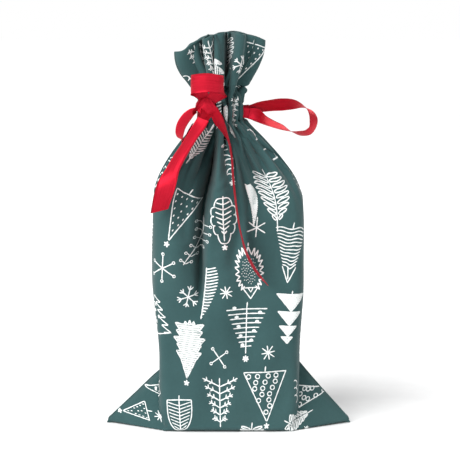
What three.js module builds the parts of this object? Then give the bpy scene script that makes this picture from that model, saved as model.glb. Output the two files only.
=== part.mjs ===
// A drawstring wine gift bag: two printed cotton panels sewn along the sides and the bottom,
// gathered at the neck by a satin ribbon in a stitched casing, with a frill above it.
// Millimetres, +Z up. The front faces -Y. The origin is the centre of the base, on the floor.
import * as THREE from "three";
import { mergeVertices } from "three/addons/utils/BufferGeometryUtils.js";

// Driving dimensions of the filled bag
const bodyHalfWidth = 65.5;
const bodyHalfDepth = 44;
const shoulderZ = 200; // the body is straight below this height and narrows above it
const neckZ = 267; // the lower row of casing stitches
const casingHeight = 17;
const neckHalfWidth = 20;
const neckHalfDepth = 16;
const neckLean = -6.5; // the gathered neck stands a little to the left of the base
const frillTopZ = 344;
const mouthHalfWidth = 40;
const mouthHalfDepth = 25;
const earReach = 43; // how far the bottom corners stand out at each side
const earHeightLeft = 48;
const earHeightRight = 56;
const earTipHeight = 5;
const earTipHalfDepth = 3;

const clothThickness = 1.5;
const gap = 0.3;
const seamThickness = 1.2;
const threadThickness = 1;
const ribbonWidth = 16;
const ribbonThickness = 1.2;

const quarterTurn = Math.PI / 2;
const halfSeam = seamThickness / 2 + gap;

const cotton = new THREE.MeshStandardMaterial({ color: 0x3f6460, roughness: 0.9, metalness: 0 });
const thread = new THREE.MeshStandardMaterial({ color: 0x2c4644, roughness: 0.8, metalness: 0 });
const satin = new THREE.MeshStandardMaterial({ color: 0xc8213f, roughness: 0.35, metalness: 0 });

const bag = new THREE.Group();

function addPiece(name, geometry, material) {
  const piece = new THREE.Mesh(geometry, material);
  piece.name = name;
  bag.add(piece);
}

// The bag's outline: how the cross-section changes with height

const clamp01 = (value) => Math.min(Math.max(value, 0), 1);
const smoothStep = (value) => clamp01(value) ** 2 * (3 - 2 * clamp01(value));
const mix = (from, to, share) => from + (to - from) * share;

// 1 on the body, 0 at the neck
function shoulderFall(z, power) {
  return Math.cos(quarterTurn * clamp01((z - shoulderZ) / (neckZ - shoulderZ))) ** power;
}

// 0 at the waist above the casing, 1 at the top of the frill
function frillRise(z) {
  const waistZ = neckZ + casingHeight + 6;
  return clamp01((z - waistZ) / (frillTopZ - waistZ));
}

function halfWidth(z) {
  if (z > neckZ) return mix(neckHalfWidth, mouthHalfWidth, Math.sin(quarterTurn * frillRise(z)));
  return mix(neckHalfWidth, bodyHalfWidth, shoulderFall(z, 1.25));
}

function halfDepth(z) {
  if (z > neckZ) return mix(neckHalfDepth, mouthHalfDepth, frillRise(z));
  return mix(neckHalfDepth, bodyHalfDepth, shoulderFall(z, 1.1));
}

const centreX = (z) => neckLean * smoothStep((z - shoulderZ) / (neckZ + 8 - shoulderZ));
const squareness = (z) => 2.2 + 4.8 * (z > neckZ ? 0 : shoulderFall(z, 1.4));

// A point of the cross-section at height z. The angle is 0 at the right side seam, -90 degrees at the
// front and 180 at the left; the outline is a rounded rectangle that becomes an ellipse at the neck.
function outlinePoint(z, angle, inset = 0) {
  const power = 2 / squareness(z);
  const c = Math.cos(angle);
  const s = Math.sin(angle);
  return new THREE.Vector2(
    centreX(z) + Math.sign(c) * Math.abs(c) ** power * (halfWidth(z) - inset),
    Math.sign(s) * Math.abs(s) ** power * (halfDepth(z) - inset),
  );
}

// Geometry helpers

// Turns rows of points into triangles between neighbouring rows.
function gridTriangles(rows, columns, first = 0) {
  const triangles = [];
  for (let row = 0; row + 1 < rows; row++) {
    for (let column = 0; column + 1 < columns; column++) {
      const corner = first + row * columns + column;
      triangles.push(corner, corner + 1, corner + columns);
      triangles.push(corner + 1, corner + columns + 1, corner + columns);
    }
  }
  return triangles;
}

function geometryOf(points, triangles) {
  const geometry = new THREE.BufferGeometry();
  geometry.setAttribute("position", new THREE.Float32BufferAttribute(points.flatMap((p) => [p.x, p.y, p.z]), 3));
  geometry.setIndex(triangles);
  return geometry;
}

// Joins equal points, and drops the triangles that have collapsed to a line.
function weld(geometry) {
  const joined = mergeVertices(geometry, 1e-3);
  const index = joined.index.array;
  const kept = [];
  for (let i = 0; i < index.length; i += 3) {
    const [a, b, c] = index.slice(i, i + 3);
    if (a !== b && b !== c && c !== a) kept.push(a, b, c);
  }
  joined.setIndex(kept);
  return joined;
}

// Gives an open sheet of cloth its thickness: a second layer behind it, and a rim round its edge.
function thicken(sheet, thickness) {
  const skin = weld(sheet);
  skin.computeVertexNormals();
  const position = skin.attributes.position;
  const normal = skin.attributes.normal;
  const outer = [];
  const inner = [];
  for (let i = 0; i < position.count; i++) {
    const point = new THREE.Vector3().fromBufferAttribute(position, i);
    const inward = new THREE.Vector3().fromBufferAttribute(normal, i).multiplyScalar(-thickness);
    outer.push(point);
    inner.push(point.clone().add(inward));
  }
  const count = outer.length;
  const index = Array.from(skin.index.array);
  const triangles = [...index];
  const edges = new Set();
  for (let i = 0; i < index.length; i += 3) {
    const [a, b, c] = index.slice(i, i + 3);
    triangles.push(a + count, c + count, b + count);
    for (const [from, to] of [[a, b], [b, c], [c, a]]) edges.add(`${from},${to}`);
  }
  for (const edge of edges) {
    const [from, to] = edge.split(",").map(Number);
    if (edges.has(`${to},${from}`)) continue;
    triangles.push(to, from, to + count);
    triangles.push(from, from + count, to + count);
  }
  return geometryOf([...outer, ...inner], triangles);
}

// A bar of four-sided section along a list of sections, each given as its four corners in order.
function barThrough(sections) {
  const points = sections.flat();
  const triangles = [];
  for (let i = 0; i + 1 < sections.length; i++) {
    for (let k = 0; k < 4; k++) {
      const here = 4 * i + k;
      const beside = 4 * i + ((k + 1) % 4);
      triangles.push(here, beside, here + 4, beside, beside + 4, here + 4);
    }
  }
  const last = points.length - 4;
  triangles.push(0, 2, 1, 0, 3, 2, last, last + 1, last + 2, last, last + 2, last + 3);
  return geometryOf(points, triangles);
}

// The same bar joined end to end as a ring.
function ringThrough(sections) {
  const points = sections.flat();
  const triangles = [];
  for (let i = 0; i < sections.length; i++) {
    const next = (i + 1) % sections.length;
    for (let k = 0; k < 4; k++) {
      const besideK = (k + 1) % 4;
      triangles.push(4 * i + k, 4 * i + besideK, 4 * next + k);
      triangles.push(4 * i + besideK, 4 * next + besideK, 4 * next + k);
    }
  }
  return geometryOf(points, triangles);
}

// Front and back panels

const panelTopZ = neckZ - threadThickness / 2 - gap;

// How much of an ear is left at height z: 1 at the base, 0 where its ridge meets the side.
const earShare = (z, earHeight) => clamp01(1 - Math.max(z - earTipHeight, 0) / (earHeight - earTipHeight));

const earFootShare = 0.86; // an ear starts this far towards the corner of the base
const outlineSteps = 14;

// Half of the cross-section, from the left seam round the front to the right seam. side is -1 for the
// front panel and 1 for the back panel.
function panelRow(z, side) {
  const seamY = side * halfSeam;
  const ear = (sign, earHeight) => {
    const share = earShare(z, earHeight);
    const sideX = outlinePoint(z, sign > 0 ? 0 : Math.PI).x;
    const reach = earReach * share;
    const tipY = side * earTipHalfDepth;
    const footY = side * mix(earTipHalfDepth * 2, halfDepth(z) * earFootShare, share);
    return [
      new THREE.Vector3(sideX + sign * reach, seamY, z),
      new THREE.Vector3(sideX + sign * reach, tipY, z),
      new THREE.Vector3(sideX + (sign * reach) / 2, (tipY + footY) / 2, z),
      new THREE.Vector3(sideX, footY, z),
    ];
  };
  const left = ear(-1, earHeightLeft);
  const right = ear(1, earHeightRight).reverse();
  const row = [...left];
  for (let i = 1; i < outlineSteps; i++) {
    const point = outlinePoint(z, side * Math.PI * (1 - i / outlineSteps));
    // Beside an ear the outline starts no nearer the seam than the ear's own foot.
    const footY = point.x < centreX(z) ? left.at(-1).y : right[0].y;
    row.push(new THREE.Vector3(point.x, side * Math.max(Math.abs(point.y), Math.abs(footY)), z));
  }
  row.push(...right);
  return row;
}

function panel(side) {
  const levels = [0, 6, 16, 28, 40, earHeightLeft, earHeightRight, 90, 140, 185, 205, 220, 233, 245, 256, panelTopZ];
  const rows = levels.map((z) => panelRow(z, side));
  const seamRow = rows[0].map((point) => new THREE.Vector3(point.x, side * halfSeam, 0));
  const middleRow = rows[0].map((point, i) => point.clone().lerp(seamRow[i], 0.5));
  const all = [seamRow, middleRow, ...rows];
  const triangles = gridTriangles(all.length, rows[0].length);
  const points = all.flat();
  if (side > 0) triangles.reverse();
  return thicken(geometryOf(points, triangles), clothThickness);
}

addPiece("front_panel", panel(-1), cotton);
addPiece("back_panel", panel(1), cotton);

// Sewn seams: a strip of thread and seam allowance between the two panels

const seamAllowance = 3;
const bottomSeamHeight = 2.5;

function sideSeam(sign, earHeight) {
  const levels = [0, earTipHeight, 16, 32, earHeight, 100, 150, 200, 215, 230, 245, 256, panelTopZ];
  const sections = levels.map((z) => {
    const edgeX = outlinePoint(z, sign > 0 ? 0 : Math.PI).x + sign * earReach * earShare(z, earHeight);
    const inX = edgeX - sign * seamAllowance;
    const lift = z === 0 ? bottomSeamHeight + gap : 0;
    const corners = [[edgeX, -1], [edgeX, 1], [inX, 1], [inX, -1]].map(
      ([x, y]) => new THREE.Vector3(x, (y * seamThickness) / 2, z + lift),
    );
    return sign > 0 ? corners : corners.reverse();
  });
  return barThrough(sections);
}

function bottomSeam() {
  const halfLength = bodyHalfWidth + earReach;
  const sections = [-halfLength, 0, halfLength].map((x) =>
    [[-1, 0], [1, 0], [1, bottomSeamHeight], [-1, bottomSeamHeight]].map(
      ([y, z]) => new THREE.Vector3(x, (y * seamThickness) / 2, z),
    ),
  );
  return barThrough(sections);
}

addPiece("left_side_seam", sideSeam(-1, earHeightLeft), thread);
addPiece("right_side_seam", sideSeam(1, earHeightRight), thread);
addPiece("bottom_seam", bottomSeam(), thread);

// The casing: two half tunnels round the neck between two rows of stitches. The ribbon leaves it
// through the slots where the halves end, one at the right seam and one at the front left.

const casingWall = 0.9;
const casingThickness = 4.4;
const casingBottomZ = neckZ + threadThickness / 2 + gap;
const casingTopZ = casingBottomZ + casingHeight - threadThickness;
const slotHalfAngle = THREE.MathUtils.degToRad(15);
const leftSlotAngle = THREE.MathUtils.degToRad(-155);
const rightSlotAngle = 0;
const casingSteps = 14;

// Angles of the front half run from the left slot to the right one, those of the back half the other way.
const frontAngles = { from: leftSlotAngle + slotHalfAngle, to: rightSlotAngle - slotHalfAngle };
const backAngles = { from: rightSlotAngle + slotHalfAngle, to: leftSlotAngle + 2 * Math.PI - slotHalfAngle };

// One wall of the neck between two heights and two insets from its outline.
function neckBand({ from, to }, outset, inset, lowZ, highZ) {
  const sections = [];
  for (let i = 0; i <= casingSteps; i++) {
    const angle = mix(from, to, i / casingSteps);
    const outer = outlinePoint(neckZ, angle, outset);
    const inner = outlinePoint(neckZ, angle, inset);
    sections.push([
      new THREE.Vector3(outer.x, outer.y, lowZ),
      new THREE.Vector3(inner.x, inner.y, lowZ),
      new THREE.Vector3(inner.x, inner.y, highZ),
      new THREE.Vector3(outer.x, outer.y, highZ),
    ]);
  }
  return sections;
}

// A tunnel of rectangular section with open ends.
function casing(angles) {
  const outside = neckBand(angles, 0, casingThickness, casingBottomZ, casingTopZ);
  const inside = neckBand(
    angles, casingWall, casingThickness - casingWall, casingBottomZ + casingWall, casingTopZ - casingWall,
  );
  const count = outside.length * 4;
  const triangles = [];
  for (let i = 0; i + 1 < outside.length; i++) {
    for (let k = 0; k < 4; k++) {
      const here = 4 * i + k;
      const beside = 4 * i + ((k + 1) % 4);
      triangles.push(here, beside, here + 4, beside, beside + 4, here + 4);
      triangles.push(count + here, count + here + 4, count + beside);
      triangles.push(count + beside, count + here + 4, count + beside + 4);
    }
  }
  const end = count - 4;
  for (let k = 0; k < 4; k++) {
    const next = (k + 1) % 4;
    triangles.push(k, count + k, next, next, count + k, count + next);
    triangles.push(end + k, end + next, count + end + k, end + next, count + end + next, count + end + k);
  }
  return geometryOf([...outside.flat(), ...inside.flat()], triangles);
}

function casingRibbon(angles) {
  const middle = casingThickness / 2;
  const slack = casingWall + gap;
  return barThrough(neckBand(
    angles, middle - ribbonThickness / 2, middle + ribbonThickness / 2, casingBottomZ + slack, casingTopZ - slack,
  ));
}

function stitchRow(z) {
  const whole = { from: 0, to: 2 * Math.PI };
  const inset = (clothThickness - threadThickness) / 2;
  const band = neckBand(whole, inset, inset + threadThickness, z - threadThickness / 2, z + threadThickness / 2);
  return ringThrough(band.slice(0, -1));
}

addPiece("lower_casing_stitches", stitchRow(neckZ), thread);
addPiece("front_casing", casing(frontAngles), cotton);
addPiece("back_casing", casing(backAngles), cotton);
addPiece("front_casing_ribbon", casingRibbon(frontAngles), satin);
addPiece("back_casing_ribbon", casingRibbon(backAngles), satin);
addPiece("upper_casing_stitches", stitchRow(casingTopZ + gap + threadThickness / 2), thread);

// The frill above the casing

const frillBottomZ = casingTopZ + 2 * gap + threadThickness;

// The top edge is highest in the middle, and lower at the left seam than at the right one.
function rimDrop(angle) {
  const across = Math.cos(angle);
  return across < 0 ? 16 * across * across : 7 * across * across;
}

const seamAngle = (z) => Math.asin(Math.min(halfSeam / halfDepth(z), 1)) || 0;

function frill(side) {
  const columns = 16;
  const levels = 6;
  const points = [];
  for (let row = 0; row <= levels; row++) {
    for (let column = 0; column <= columns; column++) {
      const nominal = mix(Math.PI, 0, column / columns);
      const z = mix(frillBottomZ, frillTopZ - rimDrop(nominal), row / levels);
      const start = seamAngle(z);
      const angle = side * mix(Math.PI - start, start, column / columns);
      const point = outlinePoint(z, angle);
      points.push(new THREE.Vector3(point.x, point.y, z));
    }
  }
  const triangles = gridTriangles(levels + 1, columns + 1);
  if (side > 0) triangles.reverse();
  return thicken(geometryOf(points, triangles), clothThickness);
}

function frillSeam(sign) {
  const angle = sign > 0 ? 0 : Math.PI;
  const levels = 6;
  const sections = [];
  for (let i = 0; i <= levels; i++) {
    const z = mix(frillBottomZ, frillTopZ - rimDrop(angle), i / levels);
    const edgeX = outlinePoint(z, angle).x;
    const inX = edgeX - sign * clothThickness;
    const corners = [[edgeX, -1], [edgeX, 1], [inX, 1], [inX, -1]].map(
      ([x, y]) => new THREE.Vector3(x, (y * seamThickness) / 2, z),
    );
    sections.push(sign > 0 ? corners : corners.reverse());
  }
  return barThrough(sections);
}

addPiece("front_frill", frill(-1), cotton);
addPiece("back_frill", frill(1), cotton);
addPiece("left_frill_seam", frillSeam(-1), thread);
addPiece("right_frill_seam", frillSeam(1), thread);

// The free ribbon: a knot at the front left of the neck, two bow loops and two tails on it, and a
// pull loop drawn out of the slot at the right

// A flat ribbon through stations. Each station is its centre and the direction across its width.
function ribbon(stations, steps) {
  const path = new THREE.CatmullRomCurve3(stations.map(({ at }) => new THREE.Vector3(...at)), false, "centripetal");
  const across = new THREE.CatmullRomCurve3(stations.map(({ wide }) => new THREE.Vector3(...wide).normalize()));
  const sections = [];
  for (let i = 0; i <= steps; i++) {
    const centre = path.getPoint(i / steps);
    const along = path.getTangent(i / steps);
    const wide = across.getPoint(i / steps);
    wide.addScaledVector(along, -wide.dot(along)).setLength(ribbonWidth / 2);
    const thick = new THREE.Vector3().crossVectors(along, wide).setLength(ribbonThickness / 2);
    sections.push([[1, 1], [-1, 1], [-1, -1], [1, -1]].map(([w, t]) =>
      centre.clone().addScaledVector(wide, w).addScaledVector(thick, t),
    ));
  }
  return barThrough(sections);
}

const knotCentre = new THREE.Vector3(-19.5, -21.5, 280.5);
const knotRadii = new THREE.Vector3(6, 5, 6.8);

function knot() {
  const lump = new THREE.SphereGeometry(1, 14, 9);
  lump.scale(knotRadii.x, knotRadii.y, knotRadii.z);
  lump.rotateY(THREE.MathUtils.degToRad(-20));
  lump.translate(knotCentre.x, knotCentre.y, knotCentre.z);
  lump.deleteAttribute("uv");
  lump.deleteAttribute("normal");
  return weld(lump);
}

addPiece("bow_knot", knot(), satin);

// Up out of the knot, out to the left, round the front as a level band and back to the knot.
const topLoop = [
  { at: [-22, -25, 287], wide: [0.65, -0.35, 0.5] },
  { at: [-26.5, -24.5, 292.5], wide: [0.45, -0.35, 0.75] },
  { at: [-30.3, -27.5, 297.5], wide: [0.12, -0.2, 1] },
  { at: [-31.6, -34.5, 300.3], wide: [0.05, 0, 1] },
  { at: [-28, -41.5, 302.3], wide: [0, 0.05, 1] },
  { at: [-18.3, -45, 303.5], wide: [0, 0.1, 1] },
  { at: [-9, -41.5, 302], wide: [0, 0.05, 1] },
  { at: [-4.6, -34.5, 299], wide: [-0.1, 0, 1] },
  { at: [-5.6, -28, 295], wide: [-0.25, -0.2, 1] },
  { at: [-9.8, -26, 290.8], wide: [-0.5, -0.3, 0.8] },
  { at: [-15, -25.8, 286.5], wide: [-0.6, -0.4, 0.55] },
];

// Out of the knot's left side, down and round in a small drooping loop.
const leftLoop = [
  { at: [-27.5, -21, 278], wide: [0, 0.95, 0.35] },
  { at: [-32, -20.5, 275.5], wide: [-0.2, 0.85, 0.4] },
  { at: [-37, -20, 270.5], wide: [-0.35, 0.85, 0.35] },
  { at: [-41, -19, 263.5], wide: [-0.45, 0.8, 0.15] },
  { at: [-42.3, -18.5, 256], wide: [-0.4, 0.85, 0.1] },
  { at: [-40.5, -18, 251.3], wide: [-0.2, 0.95, 0.3] },
  { at: [-37.5, -17.5, 253], wide: [0.1, 0.95, 0.3] },
  { at: [-34.5, -17.5, 259], wide: [0.2, 0.95, 0.1] },
  { at: [-31, -18, 266], wide: [0.1, 1, 0] },
];

// From the bottom of the knot down over the left shoulder to a slanted cut end.
const leftTail = [
  { at: [-21.5, -31, 271.5], wide: [0.7, 0.5, -0.3] },
  { at: [-25.3, -33.2, 265], wide: [0.5, 0.75, -0.4] },
  { at: [-30.3, -35.5, 257.5], wide: [0.35, 0.85, -0.35] },
  { at: [-36.4, -38.5, 248], wide: [0.4, 0.85, -0.35] },
  { at: [-42.5, -42, 238.5], wide: [0.55, 0.75, -0.35] },
  { at: [-47.8, -45.5, 228.5], wide: [0.65, 0.7, -0.35] },
  { at: [-52.2, -48.5, 218], wide: [0.7, 0.65, -0.35] },
  { at: [-55.7, -50, 207], wide: [0.72, 0.62, -0.3] },
  { at: [-58.8, -50.5, 194.5], wide: [0.75, 0.58, -0.25] },
];

// From the right of the knot, over the front of the gathers and down the middle, standing on its edge.
const frontTail = [
  { at: [-12, -26.5, 276.5], wide: [0.55, -0.35, 0.65] },
  { at: [-8.5, -29.5, 270.5], wide: [0.5, -0.75, 0.4] },
  { at: [-3.5, -33, 262], wide: [0.3, -0.95, 0.15] },
  { at: [0.3, -37, 252.5], wide: [0.12, -1, 0] },
  { at: [2.8, -44, 239], wide: [0.1, -1, 0] },
  { at: [3.9, -51, 224], wide: [0.1, -1, 0] },
  { at: [5.7, -55, 207.5], wide: [0.1, -1, 0] },
  { at: [7.9, -56, 190.5], wide: [0.1, -1, 0] },
  { at: [11, -56, 174.5], wide: [0.1, -1, 0] },
  { at: [15.3, -56, 159.5], wide: [0.15, -1, 0.1] },
  { at: [22.4, -56, 145.5], wide: [0.2, -1, 0.1] },
  { at: [30.3, -56, 134.5], wide: [0.2, -1, 0.1] },
];

// Out of the right slot, round at the far right and back into the slot below itself.
const pullLoop = [
  { at: [17.8, 2.6, 276.4], wide: [0, 0.5, -0.85] },
  { at: [24, 2.6, 278], wide: [0, 0.7, -0.65] },
  { at: [34.6, 1, 279.8], wide: [0, 0.72, -0.65] },
  { at: [46, 0, 281], wide: [0, 0.68, -0.72] },
  { at: [56.6, 0, 281], wide: [0, 0.8, -0.6] },
  { at: [65.3, 0, 278.8], wide: [0, 1, -0.2] },
  { at: [71.3, 0, 274], wide: [0.3, 0.95, 0] },
  { at: [74, 0, 267.5], wide: [0.47, 0.88, 0] },
  { at: [73, 0, 260.8], wide: [0.4, 0.9, -0.15] },
  { at: [69, 0, 256.8], wide: [0.33, 0.88, -0.33] },
  { at: [62.7, 0, 256], wide: [0, 0.93, -0.35] },
  { at: [54.8, 0, 257.8], wide: [0, 1, -0.1] },
  { at: [47.5, -0.5, 261], wide: [0, 0.98, 0.2] },
  { at: [40.5, -1, 263.6], wide: [0, 0.95, 0.3] },
  { at: [32, -1.8, 267.4], wide: [0, 0.88, 0.45] },
  { at: [24.5, -2.6, 272], wide: [0, 0.6, 0.8] },
  { at: [17.8, -2.6, 273.6], wide: [0, 0.2, 1] },
];

addPiece("bow_loop_top", ribbon(topLoop, 26), satin);
addPiece("bow_loop_left", ribbon(leftLoop, 20), satin);
addPiece("ribbon_tail_left", ribbon(leftTail, 16), satin);
addPiece("ribbon_tail_front", ribbon(frontTail, 24), satin);
addPiece("ribbon_pull_loop", ribbon(pullLoop, 36), satin);

export default bag;
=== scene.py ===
"""A drawstring wine gift bag of printed cotton with a satin ribbon, for Blender.

The cloth is two sewn panels on one grid. Their gathered start shape is a formula. A position-based
solver softens it over the filling, held near that shape, and the main folds and the gathers under the
casing are then pressed in. Every cloth piece and every line of the print is taken from that grid.
Metres, +Z up, the front faces -Y.
"""

import math

import bpy
import numpy as np
from mathutils import Matrix, Vector


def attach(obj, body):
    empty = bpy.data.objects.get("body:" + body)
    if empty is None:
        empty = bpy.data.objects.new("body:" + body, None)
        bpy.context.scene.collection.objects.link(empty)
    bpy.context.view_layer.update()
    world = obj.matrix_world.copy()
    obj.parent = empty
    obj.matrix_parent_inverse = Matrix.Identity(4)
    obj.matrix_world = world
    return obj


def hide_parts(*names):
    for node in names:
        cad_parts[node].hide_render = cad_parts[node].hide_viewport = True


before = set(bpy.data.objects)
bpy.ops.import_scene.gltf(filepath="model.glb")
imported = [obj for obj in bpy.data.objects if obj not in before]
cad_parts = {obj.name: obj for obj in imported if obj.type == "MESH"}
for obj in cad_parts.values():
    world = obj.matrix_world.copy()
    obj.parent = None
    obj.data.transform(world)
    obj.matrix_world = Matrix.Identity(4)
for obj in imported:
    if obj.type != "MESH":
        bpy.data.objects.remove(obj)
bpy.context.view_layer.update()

MM = 0.001


# ---------------------------------------------------------------- camera


def make_camera():
    elevation = math.radians(8.5)
    distance = 1.8
    target = Vector((0.0013, 0.0, 0.1708))
    towards_camera = Vector((0, -math.cos(elevation), math.sin(elevation)))
    data = bpy.data.cameras.new("camera")
    data.lens = 160.7
    camera = bpy.data.objects.new("camera", data)
    bpy.context.scene.collection.objects.link(camera)
    camera.location = target + towards_camera * distance
    camera.rotation_euler = (-towards_camera).to_track_quat("-Z", "Y").to_euler()
    bpy.context.scene.camera = camera


make_camera()


# ---------------------------------------------------------------- mesh helpers


class Builder:
    """Collects vertices, faces and a map of cloth coordinates for one mesh."""

    def __init__(self):
        self.points = []
        self.faces = []
        self.uvs = []
        self.count = 0

    def add(self, points, faces, uvs=None):
        points = np.asarray(points, float).reshape(-1, 3)
        if uvs is None:
            uvs = points[:, :2]
        self.points.append(points)
        self.uvs.append(np.asarray(uvs, float).reshape(-1, 2))
        self.faces.extend([[i + self.count for i in face] for face in faces])
        self.count += len(points)

    def make(self, name, material, smooth=True):
        mesh = bpy.data.meshes.new(name)
        mesh.from_pydata(np.concatenate(self.points).tolist(), [], self.faces)
        layer = mesh.uv_layers.new(name="weave")
        uvs = np.concatenate(self.uvs)
        corners = np.empty(len(mesh.loops), np.int32)
        mesh.loops.foreach_get("vertex_index", corners)
        layer.data.foreach_set("uv", uvs[corners].astype(np.float32).ravel())
        mesh.polygons.foreach_set("use_smooth", [smooth] * len(mesh.polygons))
        mesh.materials.append(material)
        piece = bpy.data.objects.new(name, mesh)
        bpy.context.scene.collection.objects.link(piece)
        return piece


def grid_faces(rows, columns, flip=False, keep=None):
    row, column = np.mgrid[0 : rows - 1, 0 : columns - 1]
    corner = row * columns + column
    faces = np.stack([corner, corner + 1, corner + columns + 1, corner + columns], -1)
    if keep is not None:
        faces = faces[keep]
    faces = faces.reshape(-1, 4)
    return (faces[:, ::-1] if flip else faces).tolist()


def unit(vectors):
    return vectors / np.maximum(np.linalg.norm(vectors, axis=-1, keepdims=True), 1e-12)


def smooth_step(value):
    value = np.clip(value, 0, 1)
    return value * value * (3 - 2 * value)


def tube(points, radius, sides=6):
    """Points and faces of a closed round cord along the points, with rounded ends."""
    points = np.asarray(points, float)
    along = unit(np.gradient(points, axis=0))
    reference = np.array([0.0, 0.0, 1.0])
    if abs(along[0] @ reference) > 0.9:
        reference = np.array([0.0, 1.0, 0.0])
    first = unit(np.cross(along, reference))
    second = np.cross(along, first)
    ends = np.ones(len(points))
    ends[0] = ends[-1] = 0.45
    angle = np.arange(sides) * 2 * math.pi / sides
    ring = (
        first[:, None] * np.cos(angle)[None, :, None]
        + second[:, None] * np.sin(angle)[None, :, None]
    )
    skin = points[:, None] + ring * (radius * ends)[:, None, None]
    faces = []
    for i in range(len(points) - 1):
        for k in range(sides):
            n = (k + 1) % sides
            faces.append([i * sides + k, i * sides + n, (i + 1) * sides + n, (i + 1) * sides + k])
    faces.append(list(range(sides))[::-1])
    faces.append([(len(points) - 1) * sides + k for k in range(sides)])
    return skin.reshape(-1, 3), faces


# ---------------------------------------------------------------- materials


def new_material(name):
    material = bpy.data.materials.new(name)
    material.use_nodes = True
    tree = material.node_tree
    return material, tree, tree.nodes["Principled BSDF"]


def node(tree, kind, **settings):
    made = tree.nodes.new(kind)
    for key, value in settings.items():
        setattr(made, key, value)
    return made


def cloth_map(tree):
    """The cloth's own coordinates, in millimetres."""
    source = node(tree, "ShaderNodeUVMap", uv_map="weave")
    mapping = node(tree, "ShaderNodeMapping")
    mapping.inputs["Scale"].default_value = (1000, 1000, 1000)
    tree.links.new(source.outputs["UV"], mapping.inputs["Vector"])
    return mapping.outputs["Vector"]


def place_map(tree):
    return node(tree, "ShaderNodeTexCoord").outputs["Object"]


def noise(tree, vector, scale, detail=3.0, roughness=0.55):
    made = node(tree, "ShaderNodeTexNoise")
    made.inputs["Scale"].default_value = scale
    made.inputs["Detail"].default_value = detail
    made.inputs["Roughness"].default_value = roughness
    tree.links.new(vector, made.inputs["Vector"])
    return made.outputs["Fac"]


def threads(tree, vector, direction, scale, distortion):
    made = node(tree, "ShaderNodeTexWave", bands_direction=direction)
    made.inputs["Scale"].default_value = scale
    made.inputs["Distortion"].default_value = distortion
    made.inputs["Detail"].default_value = 1.5
    made.inputs["Detail Scale"].default_value = 0.6
    tree.links.new(vector, made.inputs["Vector"])
    return made.outputs["Fac"]


def ramp(tree, value, stops):
    made = node(tree, "ShaderNodeValToRGB")
    elements = made.color_ramp.elements
    elements[0].position, elements[0].color = stops[0][0], (*stops[0][1], 1)
    elements[1].position, elements[1].color = stops[-1][0], (*stops[-1][1], 1)
    for position, colour in stops[1:-1]:
        elements.new(position).color = (*colour, 1)
    tree.links.new(value, made.inputs["Fac"])
    return made.outputs["Color"]


def combine(tree, operation, first, second):
    made = node(tree, "ShaderNodeMath", operation=operation)
    for socket, value in zip(made.inputs, (first, second)):
        if isinstance(value, (int, float)):
            socket.default_value = value
        else:
            tree.links.new(value, socket)
    return made.outputs["Value"]


def blend_colour(tree, kind, share, first, second):
    made = node(tree, "ShaderNodeMix", data_type="RGBA", blend_type=kind)
    made.inputs["Factor"].default_value = share
    tree.links.new(first, made.inputs["A"])
    tree.links.new(second, made.inputs["B"])
    return made.outputs["Result"]


def bump(tree, height, distance, strength=1.0, under=None):
    made = node(tree, "ShaderNodeBump")
    made.inputs["Distance"].default_value = distance
    made.inputs["Strength"].default_value = strength
    tree.links.new(height, made.inputs["Height"])
    if under is not None:
        tree.links.new(under, made.inputs["Normal"])
    return made.outputs["Normal"]


def plain_weave(tree, cloth):
    """Threads 0.45 mm apart both ways."""
    warp = threads(tree, cloth, "X", 0.7, 0.5)
    weft = threads(tree, cloth, "Y", 0.7, 0.5)
    return combine(tree, "ADD", warp, weft)


def cotton_material(name, dark, mid, light, roughness):
    """Plain-woven cotton with slubs, faint fading and a soft nap."""
    material, tree, shader = new_material(name)
    cloth = cloth_map(tree)
    weave = combine(tree, "MULTIPLY", plain_weave(tree, cloth), 0.5)
    slub = noise(tree, cloth, 0.35, 4.0, 0.6)
    fading = noise(tree, place_map(tree), 14.0, 4.0, 0.6)
    tone = ramp(tree, fading, [(0.3, dark), (0.5, mid), (0.72, light)])
    grain = ramp(tree, weave, [(0.0, (0.72, 0.72, 0.72)), (1.0, (1.0, 1.0, 1.0))])
    uneven = ramp(tree, slub, [(0.3, (0.84, 0.84, 0.84)), (0.7, (1.0, 1.0, 1.0))])
    tone = blend_colour(tree, "MULTIPLY", 0.55, tone, grain)
    tone = blend_colour(tree, "MULTIPLY", 0.5, tone, uneven)
    tree.links.new(tone, shader.inputs["Base Color"])
    rough = combine(tree, "ADD", combine(tree, "MULTIPLY", slub, 0.12), roughness - 0.06)
    tree.links.new(rough, shader.inputs["Roughness"])
    crumple = noise(tree, place_map(tree), 120.0, 3.0, 0.5)
    relief = bump(tree, crumple, 0.0006, 0.35)
    relief = bump(tree, weave, 0.00012, 0.5, relief)
    tree.links.new(relief, shader.inputs["Normal"])
    shader.inputs["Specular IOR Level"].default_value = 0.22
    shader.inputs["Sheen Weight"].default_value = 0.12
    shader.inputs["Sheen Roughness"].default_value = 0.5
    return material


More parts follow.
